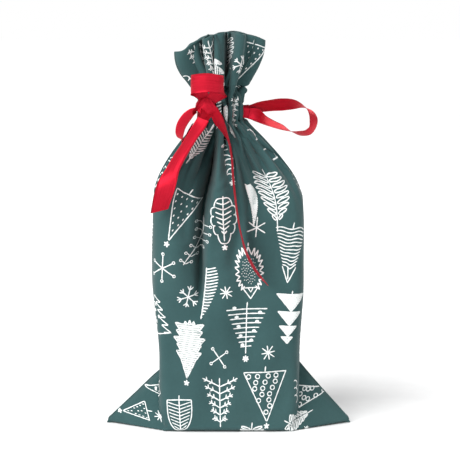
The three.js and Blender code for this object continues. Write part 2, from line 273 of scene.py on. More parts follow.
def satin_material():
    """Red satin ribbon: fine cords across it, soft streaks along it, and a smooth bright face."""
    material, tree, shader = new_material("red_satin")
    cloth = cloth_map(tree)
    cords = threads(tree, cloth, "X", 0.8, 0.3)
    stretched = node(tree, "ShaderNodeMapping")
    stretched.inputs["Scale"].default_value = (0.05, 1.6, 1.0)
    tree.links.new(cloth, stretched.inputs["Vector"])
    streaks = noise(tree, stretched.outputs["Vector"], 1.0, 3.0, 0.5)
    ripple = noise(tree, place_map(tree), 55.0, 2.0, 0.5)
    tones = [(0.25, (0.44, 0.008, 0.022)), (0.5, (0.55, 0.012, 0.031)), (0.8, (0.62, 0.018, 0.042))]
    tone = ramp(tree, streaks, tones)
    grain = ramp(tree, cords, [(0.0, (0.82, 0.82, 0.82)), (1.0, (1.0, 1.0, 1.0))])
    tone = blend_colour(tree, "MULTIPLY", 0.6, tone, grain)
    tree.links.new(tone, shader.inputs["Base Color"])
    rough = combine(tree, "ADD", combine(tree, "MULTIPLY", streaks, 0.16), 0.38)
    tree.links.new(rough, shader.inputs["Roughness"])
    relief = bump(tree, ripple, 0.0008, 0.4)
    relief = bump(tree, cords, 0.00006, 0.5, relief)
    tree.links.new(relief, shader.inputs["Normal"])
    shader.inputs["Specular IOR Level"].default_value = 0.15
    shader.inputs["Metallic"].default_value = 0.45
    shader.inputs["Specular Tint"].default_value = (1.0, 0.3, 0.35, 1)
    shader.inputs["Sheen Weight"].default_value = 0.02
    shader.inputs["Sheen Roughness"].default_value = 0.35
    shader.inputs["Sheen Tint"].default_value = (1.0, 0.55, 0.6, 1)
    return material


def ink_material():
    """Off-white pigment print, a little patchy where the weave shows through it."""
    material, tree, shader = new_material("off_white_print")
    cloth = cloth_map(tree)
    patch = noise(tree, cloth, 0.8, 4.0, 0.6)
    tone = ramp(tree, patch, [(0.31, (0.2, 0.33, 0.32)), (0.4, (0.76, 0.8, 0.79)), (0.7, (0.88, 0.89, 0.88))])
    tree.links.new(tone, shader.inputs["Base Color"])
    relief = bump(tree, plain_weave(tree, cloth), 0.00008, 0.4)
    tree.links.new(relief, shader.inputs["Normal"])
    shader.inputs["Roughness"].default_value = 0.75
    shader.inputs["Specular IOR Level"].default_value = 0.25
    return material


def thread_material():
    material, tree, shader = new_material("sewing_thread")
    place = place_map(tree)
    twist = threads(tree, place, "DIAGONAL", 900.0, 1.0)
    wear = noise(tree, place, 300.0, 2.0, 0.5)
    tone = ramp(tree, wear, [(0.3, (0.035, 0.085, 0.083)), (0.7, (0.07, 0.15, 0.145))])
    tree.links.new(tone, shader.inputs["Base Color"])
    tree.links.new(bump(tree, twist, 0.0001, 0.6), shader.inputs["Normal"])
    shader.inputs["Roughness"].default_value = 0.7
    shader.inputs["Specular IOR Level"].default_value = 0.3
    return material


cotton = cotton_material(
    "green_cotton", (0.032, 0.083, 0.085), (0.038, 0.095, 0.097), (0.045, 0.108, 0.109), 0.88
)
seam_cotton = cotton_material(
    "seam_cotton", (0.035, 0.085, 0.083), (0.042, 0.1, 0.097), (0.05, 0.112, 0.11), 0.9
)
satin = satin_material()
ink = ink_material()
thread = thread_material()


# ---------------------------------------------------------------- ribbons

RIBBON_WIDTH = 0.016
RIBBON_THICKNESS = 0.0004

# Each station is a centre in millimetres and the direction across the ribbon. The left loop, front
# tail and pull loop are the CAD model's. The top loop runs up to 3 mm from it and is turned a little,
# and the left tail keeps its centre line but is turned by up to a right angle, to catch the light.
TOP_LOOP = [
    ((-20.5, -25, 288.5), (0.4, -0.3, 0.8)),
    ((-25.2, -24, 295), (0.2, -0.2, 0.95)),
    ((-29.8, -27.5, 299.2), (0.05, -0.1, 1)),
    ((-31.6, -34.5, 301), (0, 0, 1)),
    ((-28, -41.5, 302.3), (0, 0.05, 1)),
    ((-18.3, -45, 303.5), (0, 0.1, 1)),
    ((-9, -41.5, 302), (0, 0.05, 1)),
    ((-4.6, -34.5, 300.3), (0, 0, 1)),
    ((-5.8, -28.5, 297.2), (-0.1, -0.1, 1)),
    ((-9.8, -26, 292.3), (-0.25, -0.3, 0.9)),
    ((-15, -25.8, 287), (-0.45, -0.4, 0.65)),
]
LEFT_LOOP = [
    ((-27.5, -21, 278), (0, 0.95, 0.35)),
    ((-32, -20.5, 275.5), (-0.2, 0.85, 0.4)),
    ((-37, -20, 270.5), (-0.35, 0.85, 0.35)),
    ((-41, -19, 263.5), (-0.45, 0.8, 0.15)),
    ((-42.3, -18.5, 256), (-0.4, 0.85, 0.1)),
    ((-40.5, -18, 251.3), (-0.2, 0.95, 0.3)),
    ((-37.5, -17.5, 253), (0.1, 0.95, 0.3)),
    ((-34.5, -17.5, 259), (0.2, 0.95, 0.1)),
    ((-31, -18, 266), (0.1, 1, 0)),
]
LEFT_TAIL = [
    ((-21.5, -31, 271.5), (0.8, -0.4, -0.4)),
    ((-25.3, -33.2, 265), (0.65, -0.7, -0.2)),
    ((-30.3, -35.5, 257.5), (0.55, -0.78, -0.1)),
    ((-36.4, -38.5, 248), (0.52, -0.78, -0.12)),
    ((-42.5, -42, 238.5), (0.52, -0.75, -0.2)),
    ((-47.8, -45.5, 228.5), (0.58, -0.68, -0.25)),
    ((-52.2, -48.5, 218), (0.78, -0.25, -0.35)),
    ((-55.7, -50, 207), (0.85, 0.2, -0.35)),
    ((-58.8, -50.5, 194.5), (0.8, 0.5, -0.28)),
]
FRONT_TAIL = [
    ((-12, -26.5, 276.5), (0.55, -0.35, 0.65)),
    ((-8.5, -29.5, 270.5), (0.5, -0.75, 0.4)),
    ((-3.5, -33, 262), (0.3, -0.95, 0.15)),
    ((0.3, -37, 252.5), (0.12, -1, 0)),
    ((2.8, -44, 239), (0.1, -1, 0)),
    ((3.9, -51, 224), (0.1, -1, 0)),
    ((5.7, -55, 207.5), (0.1, -1, 0)),
    ((7.9, -56, 190.5), (0.1, -1, 0)),
    ((11, -56, 174.5), (0.1, -1, 0)),
    ((15.3, -56, 159.5), (0.15, -1, 0.1)),
    ((22.4, -56, 145.5), (0.2, -1, 0.1)),
    ((30.3, -56, 134.5), (0.2, -1, 0.1)),
]
PULL_LOOP = [
    ((17.8, 2.6, 276.4), (0, 0.5, -0.85)),
    ((24, 2.6, 278), (0, 0.7, -0.65)),
    ((34.6, 1, 279.8), (0, 0.72, -0.65)),
    ((46, 0, 281), (0, 0.68, -0.72)),
    ((56.6, 0, 281), (0, 0.8, -0.6)),
    ((65.3, 0, 278.8), (0, 1, -0.2)),
    ((71.3, 0, 274), (0.3, 0.95, 0)),
    ((74, 0, 267.5), (0.47, 0.88, 0)),
    ((73, 0, 260.8), (0.4, 0.9, -0.15)),
    ((69, 0, 256.8), (0.33, 0.88, -0.33)),
    ((62.7, 0, 256), (0, 0.93, -0.35)),
    ((54.8, 0, 257.8), (0, 1, -0.1)),
    ((47.5, -0.5, 261), (0, 0.98, 0.2)),
    ((40.5, -1, 263.6), (0, 0.95, 0.3)),
    ((32, -1.8, 267.4), (0, 0.88, 0.45)),
    ((24.5, -2.6, 272), (0, 0.6, 0.8)),
    ((17.8, -2.6, 273.6), (0, 0.2, 1)),
]


def with_ends(rows):
    """The rows with one more before and after them, straight on."""
    return np.concatenate([[2 * rows[0] - rows[1]], rows, [2 * rows[-1] - rows[-2]]])


def between(a, b, c, d, t):
    """The point at share t from b to c on a Catmull-Rom curve through all four."""
    square, cube = 2 * a - 5 * b + 4 * c - d, 3 * b - a - 3 * c + d
    return 0.5 * (2 * b + (c - a) * t + square * t**2 + cube * t**3)


def spline(values, steps):
    """A smooth line through the values, evenly spaced in its parameter."""
    values = np.asarray(values, float)
    padded = with_ends(values)
    at = np.linspace(0, len(values) - 1, steps + 1)
    cell = np.minimum(at.astype(int), len(values) - 2)
    t = (at - cell)[:, None]
    a, b, c, d = (padded[cell + k] for k in range(4))
    return between(a, b, c, d, t)


def ribbon_points(stations, steps, pinch=(1, 1), camber=0.0, slant=0.0):
    """Rows of points across a flat ribbon on its two faces, its centre line and its cloth map.

    pinch is the share of the full width that is left at its start and end, camber is how far its middle
    stands off flat, and slant leans the far cut.
    """
    across_segments = 8
    centre = spline([[v * MM for v in at] for at, _ in stations], steps)
    wide = unit(spline([unit(np.array(w, float)) for _, w in stations], steps))
    along = unit(np.gradient(centre, axis=0))
    wide = unit(wide - along * np.sum(wide * along, axis=1, keepdims=True))
    thick = np.cross(along, wide)
    share = np.linspace(0, 1, steps + 1)
    across = np.linspace(-1, 1, across_segments + 1)
    length = np.concatenate([[0], np.cumsum(np.linalg.norm(np.diff(centre, axis=0), axis=1))])
    ease = 0.007
    half = 1 - (1 - pinch[0]) * np.exp(-((length / ease) ** 2))
    half = RIBBON_WIDTH / 2 * (half - (1 - pinch[1]) * np.exp(-(((length[-1] - length) / ease) ** 2)))
    crown = camber * (1 - across**2)[None, :] * np.sin(math.pi * share)[:, None]
    lean = slant * smooth_step((share - 0.8) / 0.2)[:, None] * across[None, :] * half[:, None]
    middle = (
        centre[:, None]
        + wide[:, None] * (half[:, None] * across[None, :])[..., None]
        + thick[:, None] * crown[..., None]
        + along[:, None] * lean[..., None]
    )
    rim = np.clip((1 - np.abs(across)) * 6, 0.35, 1)
    lift = thick[:, None] * (RIBBON_THICKNESS / 2 * rim)[None, :, None]
    uv = np.stack(np.broadcast_arrays(length[:, None], across[None, :] * RIBBON_WIDTH / 2), -1)
    return middle + lift, middle - lift, centre, uv


def add_ribbon(builder, stations, steps, **shape):
    top, bottom, centre, uv = ribbon_points(stations, steps, **shape)
    rows, columns = top.shape[:2]
    count = rows * columns
    faces = grid_faces(rows, columns)
    faces += [[i + count for i in face[::-1]] for face in grid_faces(rows, columns)]
    edge = [i * columns for i in range(rows)]
    edge += [(rows - 1) * columns + j for j in range(1, columns)]
    edge += [i * columns + columns - 1 for i in range(rows - 2, -1, -1)]
    edge += [j for j in range(columns - 2, 0, -1)]
    for here, after in zip(edge, edge[1:] + edge[:1]):
        faces.append([here, here + count, after + count, after])
    points = np.concatenate([top.reshape(-1, 3), bottom.reshape(-1, 3)])
    builder.add(points, faces, np.concatenate([uv, uv]).reshape(-1, 2))
    return centre


def free_ribbon(name, node_name, body, stations, steps, **shape):
    builder = Builder()
    centre = add_ribbon(builder, stations, steps, **shape)
    piece = builder.make(name, satin)
    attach(piece, body)
    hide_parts(node_name)
    return piece, centre


def make_ribbons():
    free_ribbon(
        "satin_top_loop", "bow_loop_top", "top_loop", TOP_LOOP, 72,
        pinch=(0.7, 0.7), camber=0.0004,
    )
    free_ribbon(
        "satin_left_loop", "bow_loop_left", "left_loop", LEFT_LOOP, 56,
        pinch=(0.75, 0.8), camber=0.0006,
    )
    free_ribbon(
        "satin_left_tail", "ribbon_tail_left", "left_tail", LEFT_TAIL, 60, pinch=(0.7, 1),
        camber=0.0014, slant=-0.4,
    )
    tail, tail_path = free_ribbon(
        "satin_front_tail", "ribbon_tail_front", "front_tail", FRONT_TAIL, 96,
        pinch=(0.65, 1), camber=0.0004, slant=0.5,
    )
    pull, pull_path = free_ribbon(
        "satin_pull_loop", "ribbon_pull_loop", "pull_loop", PULL_LOOP, 110,
        pinch=(0.6, 0.6), camber=0.0005,
    )


make_ribbons()


# ---------------------------------------------------------------- the cloth

BODY_HALF_WIDTH = 0.0655
BODY_HALF_DEPTH = 0.044
NECK_HALF_WIDTH = 0.020
NECK_HALF_DEPTH = 0.016
MOUTH_HALF_WIDTH = 0.040
MOUTH_HALF_DEPTH = 0.025
SHOULDER_Z = 0.200
NECK_Z = 0.267
CASING_TOP_Z = 0.284
FRILL_TOP_Z = 0.344
NECK_LEAN = -0.0065
EAR_TIP_X = 0.1075
EAR_HEIGHTS = {-1: 0.048, 1: 0.056}
NARROW_BASE = 0.0050  # how much less the half width is low down
FLARE_Z = 0.290  # where the frill starts to open
BASE_LIFT = 0.0006  # the base's cloth above the floor

# Heights along the flat cloth, from the bottom seam up.
BASE_EDGE = 0.044
EAR_EDGE = 0.092
SHOULDER_EDGE = 0.244
CASING_LOW = 0.320
CASING_HIGH = 0.337
CLOTH_TOP = 0.400

BODY_THICKNESS = 0.0006
CASING_THICKNESS = 0.0009
FRILL_THICKNESS = 0.0011

COLUMNS = 56
ROWS = 102
ROW_HEIGHT = CLOTH_TOP / ROWS
NECK_PLEATS = 22
RIM_RUFFLES = 6
GATHERS = 14
FINER = 3
SETTLE_STEPS = 18


def half_sizes(z):
    """Half width, half depth, squareness and centre of the filled bag at height z."""
    fall = np.cos(math.pi / 2 * np.clip((z - SHOULDER_Z) / (NECK_Z - SHOULDER_Z), 0, 1))
    rise = np.clip((z - FLARE_Z) / (FRILL_TOP_Z - FLARE_Z), 0, 1)
    flare = np.sin(math.pi / 2 * rise)
    width = NECK_HALF_WIDTH + (BODY_HALF_WIDTH - NECK_HALF_WIDTH) * fall**1.25
    width = width + (MOUTH_HALF_WIDTH - NECK_HALF_WIDTH) * flare
    depth = NECK_HALF_DEPTH + (BODY_HALF_DEPTH - NECK_HALF_DEPTH) * fall**1.1
    depth = depth + (MOUTH_HALF_DEPTH - NECK_HALF_DEPTH) * rise
    squareness = 2.2 + 4.8 * fall**1.4
    centre = NECK_LEAN * smooth_step((z - SHOULDER_Z) / 0.075)
    return width, depth, squareness, centre


def low_down(z):
    """1 on the narrower lower body, fading to 0 above it."""
    return smooth_step((0.13 - z) / 0.07)


def irregular(share, seed, low, high):
    """A smooth uneven wave round the bag. share runs from 0 to 1 and the wave closes on itself."""
    random = np.random.default_rng(seed)
    total = np.zeros_like(share)
    for k in range(low, high):
        size = random.normal() / math.sqrt(high - low)
        total += size * np.sin(2 * math.pi * (k * share + random.random()))
    return total


def uneven_phase(share, seed, count):
    """How many pleats have passed at each share of the way round, and how wide each is."""
    rate = np.maximum(1 + 0.3 * irregular(share, seed, 2, 9), 0.45)
    phase = np.concatenate([[0], np.cumsum((rate[1:] + rate[:-1]) / 2)])
    return phase * count / phase[-1], 1 / rate


def section(z, depth, frill_share=0.0, count=2400):
    """The closed cross-section at height z with pleats of that depth, from the left seam round the front."""
    width, thick, power, centre = half_sizes(z)
    angle = math.pi + 2 * math.pi * np.linspace(0, 1, count + 1)
    c, s = np.cos(angle), np.sin(angle)
    x = np.sign(c) * np.abs(c) ** (2 / power) * width
    y = np.sign(s) * np.abs(s) ** (2 / power) * thick
    arc = np.concatenate([[0], np.cumsum(np.hypot(np.diff(x), np.diff(y)))])
    share = np.linspace(0, 1, count + 1)
    x, y = np.interp(share, arc / arc[-1], x), np.interp(share, arc / arc[-1], y)
    step_x, step_y = np.gradient(x), np.gradient(y)
    size = np.hypot(step_x, step_y) + 1e-12
    fine, fine_width = uneven_phase(share, 3, NECK_PLEATS)
    uneven = np.clip(fine_width * (1 + 0.22 * irregular(share, 8, 3, 12)), 0.5, 1.9)
    wave = (0.5 - 0.5 * np.cos(2 * math.pi * fine)) * uneven
    if frill_share > 0:
        broad, broad_width = uneven_phase(share, 21, RIM_RUFFLES)
        ruffle = (0.5 - 0.5 * np.cos(2 * math.pi * broad)) * np.clip(broad_width, 0.6, 1.5)
        wave = wave + (ruffle - wave) * frill_share
    x = x - step_y / size * depth * wave + centre
    y = y + step_x / size * depth * wave
    arc = np.concatenate([[0], np.cumsum(np.hypot(np.diff(x), np.diff(y)))])
    return x, y, arc


def fitting_depth(z, length, frill_share):
    low, high = 0.0, 0.030
    for _ in range(16):
        middle = (low + high) / 2
        if section(z, middle, frill_share, 1200)[2][-1] < length:
            low = middle
        else:
            high = middle
    return middle


BODY_GIRTH = float(section(0.1, 0.0)[2][-1])
PANEL_WIDTH = BODY_GIRTH / 2
CELL = PANEL_WIDTH / COLUMNS
HALF = PANEL_WIDTH / 2


def height_of(h):
    """The height in the filled bag of the cloth that lies h from the bottom seam."""
    if h <= SHOULDER_EDGE:
        return max(h - BASE_EDGE, 0.0)
    if h <= CASING_LOW:
        return SHOULDER_Z + (NECK_Z - SHOULDER_Z) * (h - SHOULDER_EDGE) / (CASING_LOW - SHOULDER_EDGE)
    if h <= CASING_HIGH:
        return NECK_Z + (CASING_TOP_Z - NECK_Z) * (h - CASING_LOW) / (CASING_HIGH - CASING_LOW)
    return CASING_TOP_Z + (FRILL_TOP_Z - CASING_TOP_Z) * (h - CASING_HIGH) / (CLOTH_TOP - CASING_HIGH)


def join_panels(cloth):
    """The panels share their side seams and their bottom seam."""
    middle = (cloth[0] + cloth[1]) / 2
    for where in ((slice(None), 0), (slice(None), -1), (0, slice(None))):
        cloth[0][where] = middle[where]
        cloth[1][where] = middle[where]


def place_base(cloth, across, row, h):
    """Folds the bottom of both panels: the base on the floor, and a triangular ear at each side."""
    foot = HALF - BASE_EDGE
    flat_foot = np.array([foot, BASE_EDGE])
    flat_tip = np.array([HALF, 0.0])
    flat_ridge = np.array([HALF, EAR_EDGE])
    flat_sides = np.array([flat_tip - flat_foot, flat_ridge - flat_foot]).T
    foot_at = np.array([0.0595, -0.0405, BASE_LIFT])
    tip_at = np.array([EAR_TIP_X, 0.0, 0.003])
    for panel, side in ((0, -1), (1, 1)):
        for column, s in enumerate(across):
            sign = 1 if s > 0 else -1
            out = abs(s)
            if h < BASE_EDGE and out + h <= HALF:
                cloth[panel, row, column] = s * EAR_TIP_X / HALF, side * h * 0.93, BASE_LIFT
            elif out >= foot and (h - BASE_EDGE) <= (out - foot) * (EAR_EDGE - BASE_EDGE) / BASE_EDGE:
                shares = np.linalg.solve(flat_sides, np.array([out, h]) - flat_foot)
                ridge_at = np.array([0.0640, 0.0, EAR_HEIGHTS[sign]])
                at = foot_at + shares[0] * (tip_at - foot_at) + shares[1] * (ridge_at - foot_at)
                belly = math.sin(math.pi * min(max(shares[0], 0), 1)) * max(shares[1], 0)
                cloth[panel, row, column] = sign * at[0], -side * (at[1] - 0.006 * belly), at[2]


# Deep folds that run down from the neck: panel, top and lower end on the flat cloth, depth, and how
# far the fold reaches to its left and to its right.
FOLDS = [
    (0, (-0.0125, 0.318), (-0.0262, 0.134), 0.0210, 0.0165, 0.0030),
    (0, (-0.0145, 0.316), (-0.0266, 0.158), 0.0290, 0.0036, 0.0014),
    (0, (-0.026, 0.317), (-0.041, 0.210), 0.0100, 0.0100, 0.0040),
    (0, (0.006, 0.318), (-0.006, 0.265), 0.0060, 0.0035, 0.0035),
    (0, (0.021, 0.318), (0.003, 0.185), 0.0120, 0.0055, 0.0045),
    (0, (0.040, 0.319), (0.020, 0.232), 0.0120, 0.0022, 0.0080),
    (0, (0.058, 0.318), (0.034, 0.250), 0.0100, 0.0035, 0.0080),
    (0, (0.080, 0.317), (0.050, 0.240), 0.0090, 0.0035, 0.0090),
    (0, (0.090, 0.316), (0.070, 0.262), 0.0060, 0.0035, 0.0070),
    (0, (-0.050, 0.317), (-0.056, 0.245), 0.0085, 0.0080, 0.0030),
    (0, (-0.076, 0.316), (-0.073, 0.240), 0.0070, 0.0080, 0.0035),
    (0, (-0.036, 0.401), (-0.026, 0.344), 0.0100, 0.0180, 0.0030),
    (0, (0.024, 0.401), (0.014, 0.346), 0.0080, 0.0040, 0.0070),
    (0, (0.060, 0.401), (0.044, 0.350), 0.0050, 0.0060, 0.0090),
    (1, (0.022, 0.318), (0.012, 0.150), 0.0170, 0.0025, 0.0110),
    (1, (0.004, 0.318), (0.000, 0.235), 0.0090, 0.0050, 0.0040),
    (1, (-0.018, 0.318), (-0.012, 0.200), 0.0100, 0.0080, 0.0030),
    (1, (-0.045, 0.318), (-0.032, 0.220), 0.0110, 0.0090, 0.0028),
    (1, (-0.070, 0.316), (-0.055, 0.240), 0.0085, 0.0070, 0.0035),
    (1, (0.044, 0.318), (0.034, 0.235), 0.0095, 0.0035, 0.0080),
    (1, (0.066, 0.316), (0.055, 0.230), 0.0080, 0.0035, 0.0080),
    (1, (0.086, 0.314), (0.070, 0.250), 0.0065, 0.0040, 0.0080),
    (1, (-0.020, 0.401), (-0.014, 0.346), 0.0090, 0.0090, 0.0030),
    (1, (0.040, 0.401), (0.028, 0.346), 0.0070, 0.0035, 0.0080),
]


def press_folds(cloth):
    """Presses the folds in: each one is steep on its narrow side and easy on its wide side."""
    rows, columns = cloth.shape[1:3]
    s, h = np.meshgrid(np.linspace(-HALF, HALF, columns), np.linspace(0, CLOTH_TOP, rows))
    for panel, top, low, depth, left, right in FOLDS:
        start, run = np.array(top), np.array(low) - np.array(top)
        share = ((s - start[0]) * run[0] + (h - start[1]) * run[1]) / (run @ run)
        inside = np.clip(share, 0, 1)
        bend = 0.0016 * np.sin(9 * inside + 40 * top[0])
        aside = s - start[0] - inside * run[0] - bend
        gap = np.hypot(aside, h - start[1] - inside * run[1])
        reach = np.where(aside < 0, left, right) * (0.75 + 0.5 * inside)
        fade = (1 - inside) ** 0.5
        if top[1] < CASING_LOW:
            fade = fade * smooth_step((0.323 - h) / (0.018 + depth))
        else:
            fade = fade * smooth_step((h - 0.341) / 0.025)
        side = -1 if panel == 0 else 1
        cloth[panel, :, :, 1] -= side * depth * fade * np.exp(-((gap / reach) ** 2))
    return cloth


def soft_body(cloth, across, along):
    """The filled body sags: it swells low down and dents gently between its corners."""
    s, h = np.meshgrid(across / HALF, along)
    z = np.clip(h - BASE_EDGE, 0, 0.2)
    middle = np.cos(math.pi / 2 * np.clip(s / 0.62, -1, 1)) ** 2
    belly = 0.0028 * np.sin(math.pi * np.clip(z / 0.17, 0, 1)) * middle
    fade = smooth_step(z / 0.03) * smooth_step((0.2 - z) / 0.04)
    for panel, side in ((0, -1), (1, 1)):
        dents = (
            0.0018 * np.sin(7.3 * s + 21 * h + 1.7 * panel)
            + 0.0012 * np.sin(-11 * s + 43 * h + 0.6)
            + 0.0008 * np.sin(19 * s + 13 * h + 2.1 * panel)
        )
        cloth[panel, :, :, 1] += side * (belly + dents * fade)
        edge = smooth_step((np.abs(s) - 0.6) / 0.3)
        waist = np.sin(math.pi * np.clip(z / 0.2, 0, 1)) * fade
        swell = 0.0010 - 0.0011 * np.sin(31 * h + 2 * np.sign(s))
        cloth[panel, :, :, 0] += np.sign(s) * edge * waist * swell
        # The lower body is narrower, and the tips of the ears point a little to the front.
        x = cloth[panel, :, :, 0]
        beyond = np.clip((EAR_TIP_X - np.abs(x)) / (EAR_TIP_X - BODY_HALF_WIDTH), 0, 1)
        narrow = low_down(cloth[panel, :, :, 2]) * np.clip(np.abs(x) / 0.062, 0, 1) * beyond
        cloth[panel, :, :, 0] -= np.sign(x) * NARROW_BASE * narrow
        low = smooth_step((0.07 - cloth[panel, :, :, 2]) / 0.03)
        cloth[panel, :, :, 1] -= 0.009 * low * np.clip((np.abs(x) - 0.058) / 0.05, 0, 1)


def start_shape():
    across = np.linspace(-HALF, HALF, COLUMNS + 1)
    along = np.arange(ROWS + 1) * ROW_HEIGHT
    cloth = np.zeros((2, ROWS + 1, COLUMNS + 1, 3))
    for row, h in enumerate(along):
        z = height_of(h)
        frill_share = float(smooth_step((h - CASING_HIGH) / 0.020)) if h > CASING_HIGH else 0.0
        depth = fitting_depth(z, BODY_GIRTH, frill_share) if h > SHOULDER_EDGE else 0.0
        x, y, arc = section(z, depth, frill_share)
        for panel, from_seam in ((0, across + HALF), (1, 3 * HALF - across)):
            at = from_seam / BODY_GIRTH * arc[-1]
            cloth[panel, row, :, 0] = np.interp(at, arc, x)
            cloth[panel, row, :, 1] = np.interp(at, arc, y)
        cloth[:, row, :, 2] = z
        if h > CASING_HIGH:
            share = (h - CASING_HIGH) / (CLOTH_TOP - CASING_HIGH)
            side = np.clip(cloth[:, row, :, 0] / MOUTH_HALF_WIDTH, -1, 1)
            drop = np.where(side < 0, 0.018, 0.012) * side**2
            cloth[:, row, :, 2] -= drop * share
        if h <= EAR_EDGE:
            place_base(cloth, across, row, h)
    soft_body(cloth, across, along)
    join_panels(cloth)
    return cloth


def pull_edges(a, b, free_a, free_b, rest, firmness, push_only=False):
    """Moves the ends of cloth edges towards their rest length."""
    gap = b - a
    length = np.linalg.norm(gap, axis=-1, keepdims=True) + 1e-9
    stretch = length - rest
    if push_only:
        stretch = np.minimum(stretch, 0)
    change = gap * (firmness * stretch / length / np.maximum(free_a + free_b, 1e-9))
    a += change * free_a
    b -= change * free_b


def settle(start, steps):
    """Position-based cloth, held near its start shape, resting on the filling, its sewn rows fixed.

    The threads seek their flat length around the shoulder, and their start length elsewhere.
    """
    cloth = start.copy()
    speed = np.zeros_like(cloth)
    along = np.arange(ROWS + 1) * ROW_HEIGHT
    free = np.ones((2, ROWS + 1, COLUMNS + 1, 1))
    sewn = (along >= CASING_LOW - 1e-6) & (along <= CASING_HIGH + 1e-6)
    free[:, sewn] = 0
    gathered = smooth_step((along - 0.20) / 0.05)[None, :, None, None]
    beside = np.linalg.norm(np.diff(start, axis=2), axis=-1, keepdims=True)
    beside = beside + (CELL - beside) * gathered
    above = np.linalg.norm(np.diff(start, axis=1), axis=-1, keepdims=True)
    above = above + (ROW_HEIGHT - above) * gathered[:, 1:] * (along[1:] < CASING_LOW)[None, :, None, None]
    frill = 0.22 - 0.10 * smooth_step((along - 0.36) / 0.04)
    keep = np.where(along > CASING_HIGH, frill, 0.0)[None, :, None, None]
    below_neck = np.where(along < CASING_LOW, 0.10, 0.0)[None, :, None, None]
    keep = np.maximum(keep, below_neck)
    keep = np.maximum(keep, 0.20 * (1 - smooth_step((start[..., 2:] - 0.03) / 0.20)))
    time_step = 1 / 60
    weight = 0.25
    passes = 12
    drag = 0.95
    top_speed = 0.5
    bend = 0.12 * gathered
    for _ in range(steps):
        speed[..., 2] -= weight * time_step * free[..., 0]
        before = cloth.copy()
        cloth += speed * time_step * free
        for _ in range(passes):
            for q in (0, 1):
                cut, over = slice(q, -1, 2), slice(q + 1, None, 2)
                pull_edges(
                    cloth[:, :, cut], cloth[:, :, over], free[:, :, cut], free[:, :, over],
                    beside[:, :, q::2], 1.0,
                )
                pull_edges(cloth[:, cut], cloth[:, over], free[:, cut], free[:, over], above[:, q::2], 1.0)
            for q in range(4):
                cut, over = slice(q, -2, 4), slice(q + 2, None, 4)
                near, far = cloth[:, :, cut], cloth[:, :, over]
                n = min(near.shape[2], far.shape[2])
                pull_edges(
                    near[:, :, :n], far[:, :, :n], free[:, :, cut][:, :, :n], free[:, :, over][:, :, :n],
                    2 * CELL, bend, True,
                )
                near, far = cloth[:, cut], cloth[:, over]
                n = min(near.shape[1], far.shape[1])
                pull_edges(
                    near[:, :n], far[:, :n], free[:, cut][:, :n], free[:, over][:, :n],
                    2 * ROW_HEIGHT, bend[:, cut][:, :n], True,
                )
            rest_on_filling(cloth, free)
            join_panels(cloth)
        cloth += keep * (start - cloth)
        speed = (cloth - before) / time_step * drag
        pace = np.linalg.norm(speed, axis=-1, keepdims=True)
        speed *= np.minimum(1, top_speed / np.maximum(pace, 1e-9))
    return cloth


def rest_on_filling(cloth, free):
    """Pushes the cloth out of the filling, which is a little smaller than the bag, and off the floor."""
    width, depth, power, centre = half_sizes(cloth[..., 2])
    shoulder = smooth_step((cloth[..., 2] - 0.195) / 0.03)
    width = width - NARROW_BASE * low_down(cloth[..., 2])
    x = (cloth[..., 0] - centre) / (width - 0.001 - 0.004 * shoulder)
    y = cloth[..., 1] / (depth - 0.005 - 0.009 * shoulder)
    reach = (np.abs(x) ** power + np.abs(y) ** power) ** (1 / power)
    inside = (reach < 1) & (reach > 0.4) & (free[..., 0] > 0)
    inside &= (cloth[..., 2] > 0.002) & (cloth[..., 2] < 0.250)
    push = np.where(inside, 1 / np.maximum(reach, 0.05), 1.0)
    cloth[..., 0] = centre + (cloth[..., 0] - centre) * push
    cloth[..., 1] *= push
    cloth[..., 2] = np.maximum(cloth[..., 2], 0.0005)


def refine(cloth):
    """The same surface with FINER cells for each one, through smooth curves."""
    for axis in (1, 2):
        rows = np.moveaxis(cloth, axis, 0)
        padded = with_ends(rows)
        a, b, c, d = padded[:-3], padded[1:-2], padded[2:-1], padded[3:]
        parts = [between(a, b, c, d, q / FINER) for q in range(FINER)]
        fine = np.stack(parts, 1).reshape(-1, *rows.shape[1:])
        cloth = np.moveaxis(np.concatenate([fine, rows[-1:]]), 0, axis)
    return cloth


def outward(cloth):
    """Unit normals of both panels, facing away from the filling."""
    beside = np.gradient(cloth, axis=2)
    above = np.gradient(cloth, axis=1)
    normal = np.cross(beside, above)
    normal[1] *= -1
    return unit(normal)


def pucker(cloth):
    """Small puckers along the stitched rows, gathers that hang from the lower one, and a swelling casing."""
    rows, columns = cloth.shape[1:3]
    h = np.linspace(0, CLOTH_TOP, rows)[None, :, None]
    s = np.linspace(0, 1, columns)[None, None, :]
    panel = np.array([0.0, 1.0])[:, None, None]
    near_low = np.exp(-(((h - CASING_LOW + 0.005) / 0.006) ** 2))
    hanging = smooth_step((CASING_LOW + 0.002 - h) / 0.006) * np.exp(-((CASING_LOW - h) / 0.030))
    hanging = hanging * (h < CASING_LOW + 0.002)
    turns = GATHERS * s + 0.35 * panel + 0.25 * np.sin(11 * s)
    gathers = 1.6 * np.abs(np.sin(math.pi * turns)) ** 0.7 - 1
    near_high = np.exp(-(((h - CASING_HIGH - 0.005) / 0.006) ** 2))
    ripple = np.sin(2 * math.pi * 41 * s + panel + 3 * np.sin(9 * s)) + 0.6 * np.sin(2 * math.pi * 27 * s + 2)
    swell = np.sin(math.pi * np.clip((h - CASING_LOW) / (CASING_HIGH - CASING_LOW), 0, 1))
    move = 0.0004 * ripple * (near_low + near_high) + 0.0011 * swell + 0.0026 * gathers * hanging
    return cloth + outward(cloth) * move[..., None]


CLOTH = pucker(press_folds(refine(settle(start_shape(), SETTLE_STEPS))))
NORMAL = outward(CLOTH)
FINE_ROWS, FINE_COLUMNS = CLOTH.shape[1:3]


